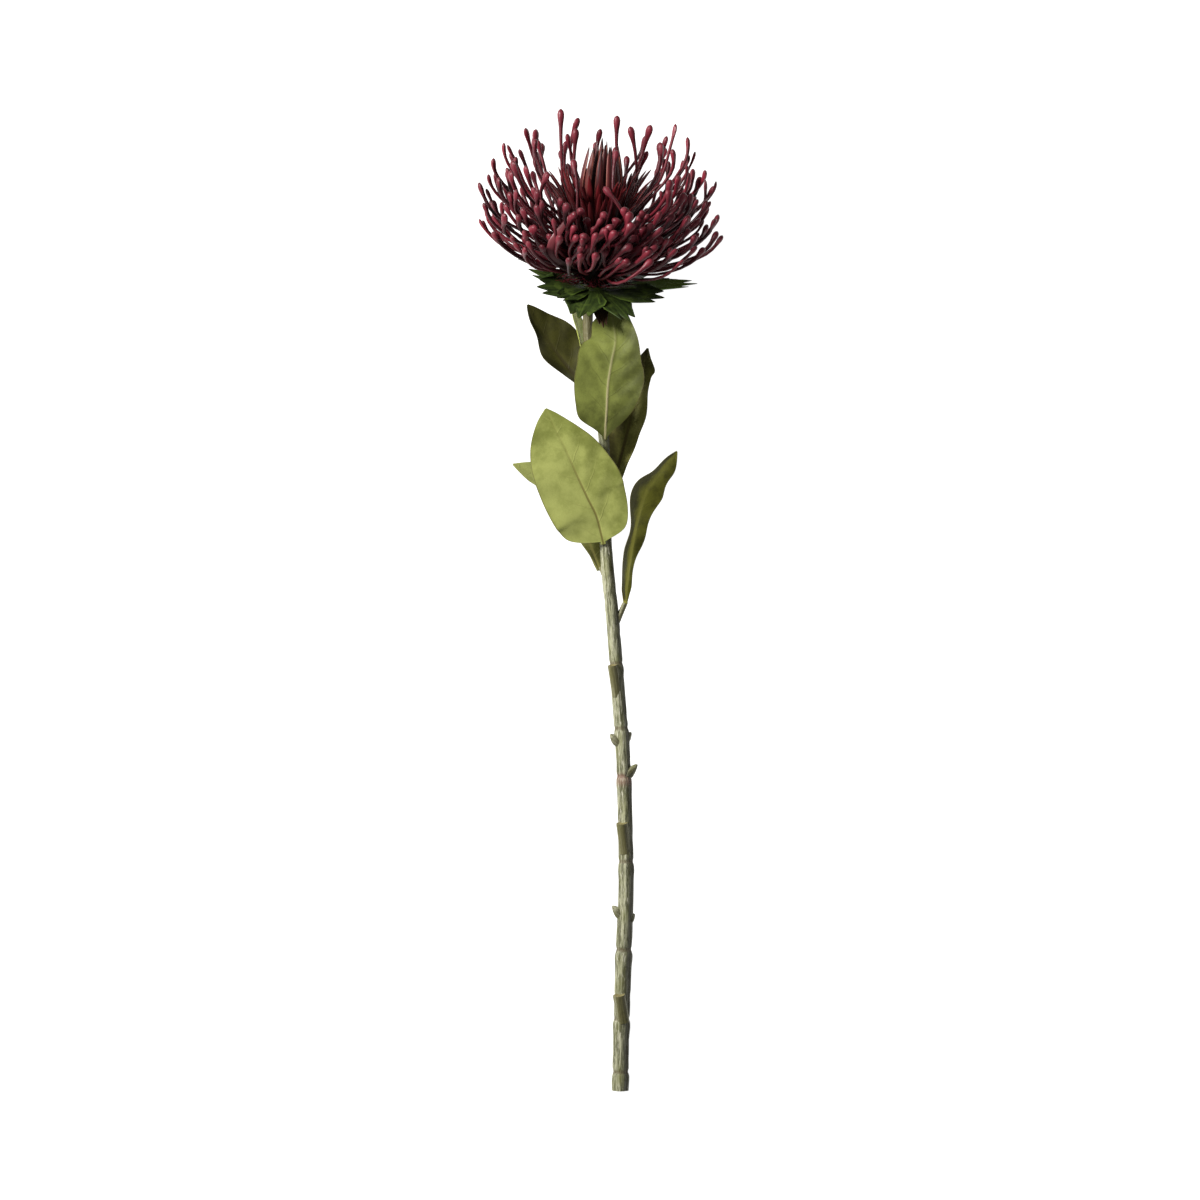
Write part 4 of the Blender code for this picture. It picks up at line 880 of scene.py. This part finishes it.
def leaf_bundle(leaf, look):
    """A leaf as one flattened loft: the sky face from left to right, then the table face back again.

    Each face lies half a thickness from the middle surface. The rib stands out or is sunk by a bell curve of the
    distance to it, and the skin ripples along slanting side veins, by a cosine of the distance between them.
    """
    line = np.linspace(-1, 1, LEAF_COLUMNS)
    line = np.sign(line) * np.abs(line) ** LEAF_EDGE_CROWDING
    along, across = np.meshgrid(np.linspace(0, 1, LEAF_ROWS), line, indexing="ij")
    from_rib = np.abs(across)
    middle, up, out, start = leaf_mid_surface(leaf, along, across)
    normal = unit(np.cross(np.gradient(middle, axis=1), np.gradient(middle, axis=0)))
    spacing = look["spacing"]
    lean = up - VEIN_LEAN * np.abs(out) - VEIN_BOW * out**2 + VEIN_SHIFT * spacing * np.sign(out) + VEIN_WANDER / 2
    before_tip = 1 - smooth_step(along, *RELIEF_ENDS)
    ripple = -look["ripple"] * np.cos(FULL_TURN * lean / spacing)
    ripple = ripple * smooth_step(from_rib, *RIPPLE_FROM_RIB) * (1 - from_rib**6)
    ripple = ripple * smooth_step(along, *RIPPLE_FROM_FOOT) * before_tip
    swell = LEAF_SWELL * np.sin(up / LEAF_SWELL_LENGTH + 1.7 * np.sign(out)) * smooth_step(from_rib, *SWELL_FROM_RIB)
    ripple = ripple + swell * smooth_step(along, *SWELL_FROM_FOOT) * before_tip
    rib = look["rib_height"] * np.exp(-((out / look["rib_width"]) ** 2)) * (1 - 0.75 * along)
    rib = rib * smooth_step(along, *RIB_FROM_FOOT)
    foot = np.clip(1 - along / LEAF_FOOT_SHARE, 0, 1)
    thickness = LEAF_THICKNESS * (1 - (1 - LEAF_RIM) * from_rib**6)
    thickness = thickness + (FOOT_THICKNESS - thickness) * foot
    middle = middle + (ripple + rib * 0.5)[:, :, None] * normal
    top = middle + normal * (thickness / 2 + np.maximum(rib, 0) * 0.5)[:, :, None]
    bottom = middle - normal * (thickness / 2 + np.maximum(-rib, 0) * 0.5)[:, :, None]
    rings = two_faces(top, bottom)
    rings = np.concatenate([rings[:1] - start * LEAF_FOOT_REACH, rings])
    # darker halves, foot and tip: partly the leaf's own tone, partly painted shade
    left, right, at_foot, at_tip = look["darker_by_shade_and_tone"]
    depth = 0.4 + left * smooth_step(-across, 0.0, 0.8) + right * smooth_step(across, 0.0, 0.8)
    depth = depth + at_foot * (1 - smooth_step(along, 0.0, 0.35)) + at_tip * smooth_step(along, 0.6, 1.0)
    rows = np.maximum(np.arange(-1, LEAF_ROWS), 0)
    up, out, depth, rim, share = (two_faces(v, v)[rows] for v in (up, out, depth, from_rib, along))
    sky = two_faces(1 + 0 * along, 0 * along)[rows]
    return lofts(rings[None], blade=triple(up, out, 40 * sky)[None], sky=sky, depth=depth, rim=rim, along=share)


def make_leaves():
    """All seven leaves, each with its own skin."""
    for name, leaf in LEAVES.items():
        look = dict(zip(LOOK_FIELDS, LEAF_LOOKS[name]))
        make_piece(name + "_blade", [leaf_bundle(leaf, look)], GROWING, leaf_skin(name, look), [name])


def bract_bundle():
    """All bracts: out along each azimuth at its lift, rolled, edges raised, and the far edge cut into teeth.

    A tooth falls from its tip to the notch beside it by the distance to the tip to the power of its roundness.
    """
    azimuth, reach, half_width, lift, roll = np.array(BRACTS).T[:, :, None, None]
    azimuth, lift, roll = np.radians((azimuth, lift, roll))
    number = np.arange(len(BRACTS))[:, None, None]
    along, across = np.meshgrid(np.linspace(0, 1, BRACT_ROWS), np.linspace(-1, 1, BRACT_COLUMNS), indexing="ij")
    places = np.arange(-3, 4)
    sideways = 3 * across
    nearest = np.clip(2 * np.round((sideways + 2) / 2) - 2, -2, 2)
    tips = np.interp(nearest, places, BRACT_TEETH)
    notches = np.interp(nearest + np.sign(sideways - nearest), places, BRACT_TEETH)
    teeth = tips + (notches - tips) * np.abs(sideways - nearest) ** TOOTH_ROUNDNESS
    outward = RUFF_ROOT + (reach * (1 + (teeth - 1) * along**2) - RUFF_ROOT) * along
    width = half_width * np.interp(along, *zip(*BRACT_OUTLINE))
    height = RUFF_HEIGHT - BRACT_LAYER * (number % 2) + np.sin(lift) * (outward - RUFF_ROOT)
    outward = RUFF_ROOT + np.cos(lift) * (outward - RUFF_ROOT)
    height = height + BRACT_CUP * width * across**2 * along - BRACT_TIP_DROOP * along**3
    height = height - width * across * np.sin(roll * along)
    aside = width * across * np.cos(roll * along)
    middle = round_axis(outward, azimuth, height) + round_axis(aside, azimuth + math.pi / 2, 0.0)
    normal = unit(np.cross(np.gradient(middle, axis=1), np.gradient(middle, axis=2)))
    half = (BRACT_THICKNESS / 2 * (1 - 0.5 * np.maximum(np.abs(across) ** 6, along**8)))[..., None]
    rings = two_faces(middle + normal * half, middle - normal * half, 2)
    share, sideways = two_faces(along, along), two_faces(across, across)
    sky = two_faces(1 + 0 * along, 0 * along)
    blade = triple(share * reach + 70 * number, sideways * half_width, 30 * sky)
    return lofts(
        rings, blade=blade, sky=sky, along=share, withered=number == WITHERED_BRACT, light=number == LIGHT_BRACT,
        rim=np.abs(sideways))


def make_ruff():
    """The ruff of toothed bracts on the fleshy cup under the head."""
    cup = turned_rings(RUFF_CUP, RUFF_CUP_SIDES)
    bundles = [bract_bundle(), lofts(cup, blade=cup, sky=1, along=0.3, withered=0, light=0, rim=0)]
    make_piece("ruff_of_bracts", bundles, BLOOM, ruff_skin(), ["bracts"])


def keep_off_cone(path, clearance):
    """Pushes points out of the room that the cone of florets takes."""
    reach = np.hypot(path[..., 0], path[..., 1])
    heights, radii = zip(*CONE_ROOM)
    room = np.interp(path[..., 2], heights, radii) + clearance
    room = np.where(path[..., 2] < heights[0], 0.0, room)
    grow = np.maximum(reach, room) / np.maximum(reach, 1e-6)
    return path * triple(grow, grow, 1.0)


def pin_paths(azimuth, tier, stretch, bend, droop, shares):
    """Courses of pins: one cubic each from its root on the core to its tip on the dome of tips.

    On the side that faces the sky the tip is lower and nearer, by the square of the azimuth's sine.
    """
    to_sky = np.maximum(-np.sin(azimuth), 0) ** 2
    away = np.maximum(np.sin(azimuth), 0) ** 2
    latitude = np.radians(between(PIN_ROOT_LATITUDE, tier))
    start = np.radians(between(PIN_START_TILT, tier) - between(SKY_LESS_START, tier) * to_sky + droop)
    end = np.radians(between(PIN_END_TILT, tier) + droop)
    rise = np.arcsin(between(TIP_DOME_RISE, tier) - between(SKY_LESS_RISE, tier) * to_sky)
    reach = TIP_DOME_RADIUS * (stretch - SKY_SHORTER * to_sky - FAR_SHORTER * away)
    root = heading(latitude) * (CORE_RADIUS, CORE_HALF_HEIGHT) + (-PIN_ROOT_SUNK, CORE_MIDDLE)
    tip = heading(rise) * reach[:, None] + (0, TIP_DOME_MIDDLE)
    pull = np.linalg.norm(tip - root, axis=-1, keepdims=True) * PIN_PULL
    corners = (root, root + pull * heading(start), tip - pull * heading(end), tip)
    a, b, c, d = (corner[:, None] for corner in corners)
    t = shares[:, None]
    course = (1 - t) ** 3 * a + 3 * (1 - t) ** 2 * t * b + 3 * (1 - t) * t**2 * c + t**3 * d
    swing = azimuth[:, None] + (bend + SKY_SWING * to_sky)[:, None] * shares**2
    return round_axis(course[..., 0], swing, course[..., 1])


def press_on_table(path, wide, thick, half_wide, half_thick):
    """Bends a path up where its pin would reach below the table, so that the pin lies on it."""
    rise = np.array(BLOOM.to_3x3())[2]
    reach = np.hypot(half_wide * (wide @ rise), half_thick * (thick @ rise))
    over = path @ rise + BLOOM.translation.z / MM - reach - PRESS_CLEARANCE
    eased = np.where(over < -PRESS_BAND, 0.0, (over + PRESS_BAND) ** 2 / (4 * PRESS_BAND))
    eased = np.where(over > PRESS_BAND, over, eased)
    return path + (eased - over)[..., None] * rise


def inside(points):
    """Painted shade: 1 near the core and 0 from so far outwards that light reaches the pins."""
    from_core = np.linalg.norm((points - (0, 0, CORE_MIDDLE + PAINTED_SHADE_LIFT)) * PAINTED_SHADE_SHAPE, axis=-1)
    return 1 - smooth_step(from_core, *CORE_PAINTED_SHADE)


def pin_bundle(paths, shares, wide_hint, tones, fatness):
    """Clubbed pins along their courses, as ovals that are a little flatter at the club."""
    radii = np.interp(shares, *zip(*PIN_PROFILE)) * (1 + fatness[:, None] * smooth_step(shares, *CLUB_FATTENS))
    flat = np.interp(shares, CLUB_FLAT_FROM, (1, CLUB_FLATNESS))
    half_wide, half_thick = radii / flat, radii * flat
    paths = press_on_table(paths, *section_frame(paths, wide_hint), half_wide, half_thick)
    turn = ring_turns(PIN_SIDES)
    rings = oval_rings(paths, *section_frame(paths, wide_hint), half_wide[..., None], half_thick[..., None], turn)
    number = np.arange(len(paths))[:, None, None]
    length = np.linalg.norm(np.diff(paths, axis=1), axis=-1).sum(axis=1)[:, None, None]
    grain = triple(np.cos(turn) + 9 * number, np.sin(turn), length * shares[:, None])
    # painted shade: darker the nearer a point lies to the core
    return lofts(rings, grain=grain, along=shares[:, None], tone=tones[:, None, None], inside=inside(rings))


def scattered_pins(count, seed, stretch, first):
    """Pins by the golden angle from the lowest tier to the highest, with a seeded scatter."""
    rng = np.random.default_rng(seed)
    number = np.arange(count)
    tiers = ((number + 0.5) / count) ** PIN_CROWDING
    azimuths = number * GOLDEN_ANGLE + first + rng.normal(0, PIN_AZIMUTH_SPREAD, count)
    azimuths = azimuths - SKY_GATHER * np.cos(azimuths)
    stretches = stretch + rng.normal(0, PIN_STRETCH_SPREAD, count)
    bends = rng.normal(0, PIN_BEND_SPREAD, count)
    droops = rng.normal(0, PIN_DROOP_SPREAD, count)
    shares = np.array(PIN_STATIONS)
    paths = keep_off_cone(pin_paths(azimuths, tiers, stretches, bends, droops, shares), PIN_CONE_GAP)
    sideways = level_across(azimuths)
    tones = rng.uniform(0, 1, count)
    phases = rng.uniform(0, FULL_TURN, (2, count, 1))
    sway = PIN_SWAY * shares * np.sin(FULL_TURN * np.array(PIN_SWAY_TURNS)[:, None, None] * shares + phases)
    paths = paths + sway[0][..., None] * sideways + sway[1][..., None] * np.cross(sideways, PIN_SWAY_LEAN)
    fatness = SKY_FATTER * np.maximum(-np.sin(azimuths), 0) + rng.normal(0, PIN_GIRTH_SPREAD, count)
    return pin_bundle(paths, shares, sideways, tones, fatness)


def stray_pins():
    """The pins that stray from the rest, kept off the cone."""
    shares = np.array(STRAY_STATIONS)
    paths = keep_off_cone(np.stack([smooth_through(in_bloom(points), shares) for points in STRAY_PINS]), PIN_CONE_GAP)
    count = len(STRAY_PINS)
    return pin_bundle(paths, shares, (1, 0, 0.3), np.linspace(*STRAY_TONES, count), np.full(count, STRAY_FATNESS))


def thread_bundle():
    """Fine threads round the foot of the core: short bows that fall outwards and down from a seeded root."""
    rng = np.random.default_rng(THREAD_SEED)
    azimuth = math.radians(-90) + rng.normal(0, THREAD_AZIMUTH_SPREAD, THREAD_COUNT)
    latitude = np.radians(rng.uniform(*THREAD_LATITUDE, THREAD_COUNT))[:, None]
    length = rng.uniform(*THREAD_LENGTH, THREAD_COUNT)[:, None]
    fall = rng.uniform(*THREAD_FALL, THREAD_COUNT)[:, None]
    share, thinning = np.array(THREAD_PROFILE).T
    out = (CORE_RADIUS - THREAD_SET_IN) * np.cos(latitude) + length * np.cos(latitude * 0.5) * share
    up = CORE_MIDDLE + (CORE_HALF_HEIGHT - THREAD_SET_IN) * np.sin(latitude) - length * fall * share**THREAD_BOW
    up = np.maximum(up, THREAD_LOWEST[0] + THREAD_LOWEST[1] * out)
    azimuth = azimuth[:, None] + rng.normal(0, THREAD_SWING_SPREAD, THREAD_COUNT)[:, None] * share
    paths = round_axis(out, azimuth, up)
    radii = (THREAD_RADIUS * thinning)[:, None]
    rings = oval_rings(paths, *section_frame(paths, (0, 0, 1)), radii, radii, ring_turns(4))
    # painted shade: the threads a little darker
    return lofts(rings, grain=rings, along=0.5, tone=rng.uniform(0.2, 1, THREAD_COUNT)[:, None, None], inside=0.25)


def core_bundle():
    """The egg-shaped receptacle: circles whose radius follows an oval from bottom to top."""
    profile = heading(np.radians(np.linspace(-89, 89, 15))) * (CORE_RADIUS, CORE_HALF_HEIGHT) + (0, CORE_MIDDLE)
    rings = turned_rings(profile, CORE_SIDES)
    # painted shade: the core near black
    return lofts(rings, grain=rings, along=0, tone=0, inside=0.9)


def strap_bundle(path, sideways, shape, width, thickness, tones):
    """Pointed straps along their courses: ovals by the shape's shares of width and thickness, marked at the edges."""
    share, wide_share, thick_share = shape.T[:, :, None]
    turn = ring_turns(STRAP_SIDES)
    half_wide, half_thick = width / 2 * wide_share, thickness / 2 * thick_share
    rings = oval_rings(path, *section_frame(path, sideways), half_wide, half_thick, turn)
    number = np.arange(len(path))[:, None, None]
    grain = triple(2 * np.cos(turn) + 9 * number, np.sin(turn), 45 * share)
    return lofts(rings, grain=grain, along=share, edge=np.abs(np.cos(turn)), tone=tones[:, None, None])


def lobe_bundle(count, length, tilt, seed, first):
    """Red pointed straps: a line whose tilt falls evenly from root to tip, carried as flattened ovals."""
    rng = np.random.default_rng(seed)
    swing, lift, stretch = rng.normal(0, 1, (count, 3)).T[:, :, None]
    azimuth = first + FULL_TURN * np.arange(count)[:, None] / count + swing * LOBE_AZIMUTH_SPREAD
    tilts = np.radians(between(tilt, LOBE_COARSE[:-1]) + lift * LOBE_TILT_SPREAD)
    steps = np.diff(LOBE_COARSE) * length * (1 + stretch * LOBE_LENGTH_SPREAD)
    runs = np.cumsum((np.cos(tilts) * steps, np.sin(tilts) * steps), axis=2)
    out, up = np.pad(runs, ((0, 0), (0, 0), (1, 0)))
    out = out + (CORE_RADIUS * math.cos(LOBE_ROOT_LATITUDE) - LOBE_ROOT_SUNK[0])
    up = up + (CORE_MIDDLE + CORE_HALF_HEIGHT * math.sin(LOBE_ROOT_LATITUDE) - LOBE_ROOT_SUNK[1])
    coarse = keep_off_cone(round_axis(out, azimuth, up), LOBE_CONE_GAP)
    path = np.stack([smooth_through(line, LOBE_SHAPE[:, 0]) for line in coarse])
    tones = rng.uniform(0, 1, count)
    return strap_bundle(path, level_across(azimuth[:, 0]), LOBE_SHAPE, LOBE_WIDTH, LOBE_THICKNESS, tones)


def ribbon_bundle():
    """The pale ribbons: flattened ovals along a curve through their points, wide side to the sky."""
    path = np.stack([smooth_through(in_bloom(points), LOBE_SHAPE[:, 0]) for points in RIBBONS])
    tones = np.full(len(RIBBONS), RIBBON_TONE)
    return strap_bundle(path, (0.9, 0, 0.5), LOBE_SHAPE, RIBBON_WIDTH, RIBBON_THICKNESS, tones)


def floret_bundle():
    """Closed florets in three rings: straps that bulge outwards and lean together at the top."""
    rng = np.random.default_rng(FLORET_SEED)
    share = FLORET_SHAPE[:, 0]
    paths, sideways = [], []
    for ring, (count, root, widest, tip, length) in enumerate(FLORET_RINGS):
        swing, stretch = rng.normal(0, FLORET_SPREAD, (count, 2)).T[:, :, None]
        azimuth = FULL_TURN * (np.arange(count)[:, None] + 0.5 * ring) / count + swing
        bulge = ((root, 0, 0), ((root + widest) / 2 + 1, 0.25, 0), (widest, 0.55, 0), (tip, 1, 0))
        dense = smooth_through(bulge, np.linspace(0, 1, 60))
        up = FLORET_FOOT + length * (1 + stretch) * share
        paths.append(round_axis(np.interp(share, dense[:, 1], dense[:, 0]), azimuth, up))
        sideways.append(level_across(azimuth[:, 0]))
    paths, sideways = np.concatenate(paths), np.concatenate(sideways)
    tones = rng.uniform(0, 1, len(paths))
    return strap_bundle(paths, sideways, FLORET_SHAPE, FLORET_WIDTH, FLORET_THICKNESS, tones)


def cone_disc_bundle():
    """The small disc that the florets stand on."""
    rings = turned_rings(FLORET_DISC, CORE_SIDES)
    return lofts(rings, grain=rings, along=0, edge=0, tone=0)


def make_bloom():
    """The pins with their core, the red lobes with the ribbons, and the cone of florets."""
    pins = [core_bundle(), *(scattered_pins(*row) for row in PIN_SETS), stray_pins(), thread_bundle()]
    make_piece("burgundy_pins", pins, BLOOM, pin_skin(), ["styles"])
    lobes = [*(lobe_bundle(*row) for row in LOBE_SETS), ribbon_bundle()]
    make_piece("red_lobes", lobes, BLOOM, lobe_skin(), ["styles"])
    cone = [cone_disc_bundle(), floret_bundle()]
    make_piece("cone_of_florets", cone, BLOOM, cone_skin(), ["florets"])


def make_floor():
    """A large pale floor, faintly lit from below, that the flower lies on."""
    half = FLOOR_HALF_WIDTH
    height = float(solids_box[0][2]) - FLOOR_GAP
    mesh = bpy.data.meshes.new("floor")
    corners = [(-half, -half, height), (half, -half, height), (half, half, height), (-half, half, height)]
    mesh.from_pydata(corners, [], [(0, 1, 2, 3)])
    skin = Skin("floor_paint", 0.9, gloss=0.1, glow=0.98, glow_tint=(1, 1, 1, 1))
    place = skin.add("ShaderNodeTexCoord", {}, "Object")
    skin.paint(skin.mix(skin.cloud(place, 1.5, 2), "8c8c8a", "929291"))
    mesh.materials.append(skin.material)
    floor = add_object("floor", mesh)


def light_studio():
    """A soft square key light from the left and above, and an even pale surround."""
    light = bpy.data.lights.new("key", "AREA")
    light.size, light.energy, light.color = KEY_SIZE, KEY_POWER, KEY_TINT
    away = (GROWING.to_3x3() @ Vector(KEY_FROM)).normalized()
    place = GROWING @ (Vector(KEY_TOWARDS) * MM) + away * KEY_DISTANCE
    turned = away.to_track_quat("Z", "Y").to_matrix().to_4x4()
    add_object("key", light).matrix_world = Matrix.Translation(place) @ turned
    world = bpy.data.worlds.new("surround")
    bpy.context.scene.world = world
    world.use_nodes = True
    surround = world.node_tree.nodes["Background"]
    surround.inputs["Color"].default_value = (1, 1, 1, 1)
    surround.inputs["Strength"].default_value = SURROUND_STRENGTH
    bpy.context.scene.view_settings.view_transform = "Standard"


def set_camera():
    """The camera straight above the lying flower, at the height that gives the picture's scale."""
    right = (PICTURE_MIDDLE[0] - STEM_FOOT_IN_PICTURE[0]) * PICTURE_POINT
    up = (STEM_FOOT_IN_PICTURE[1] - PICTURE_MIDDLE[1]) * PICTURE_POINT
    camera = add_object("camera", bpy.data.cameras.new("camera"))
    camera.data.lens = CAMERA_LENS
    camera.data.sensor_width = CAMERA_SENSOR
    camera.matrix_world = GROWING @ Matrix.Translation(Vector((right, up, CAMERA_DISTANCE)) * MM)
    bpy.context.scene.camera = camera


set_camera()
make_bark()
make_leaves()
make_ruff()
make_bloom()
make_floor()
light_studio()
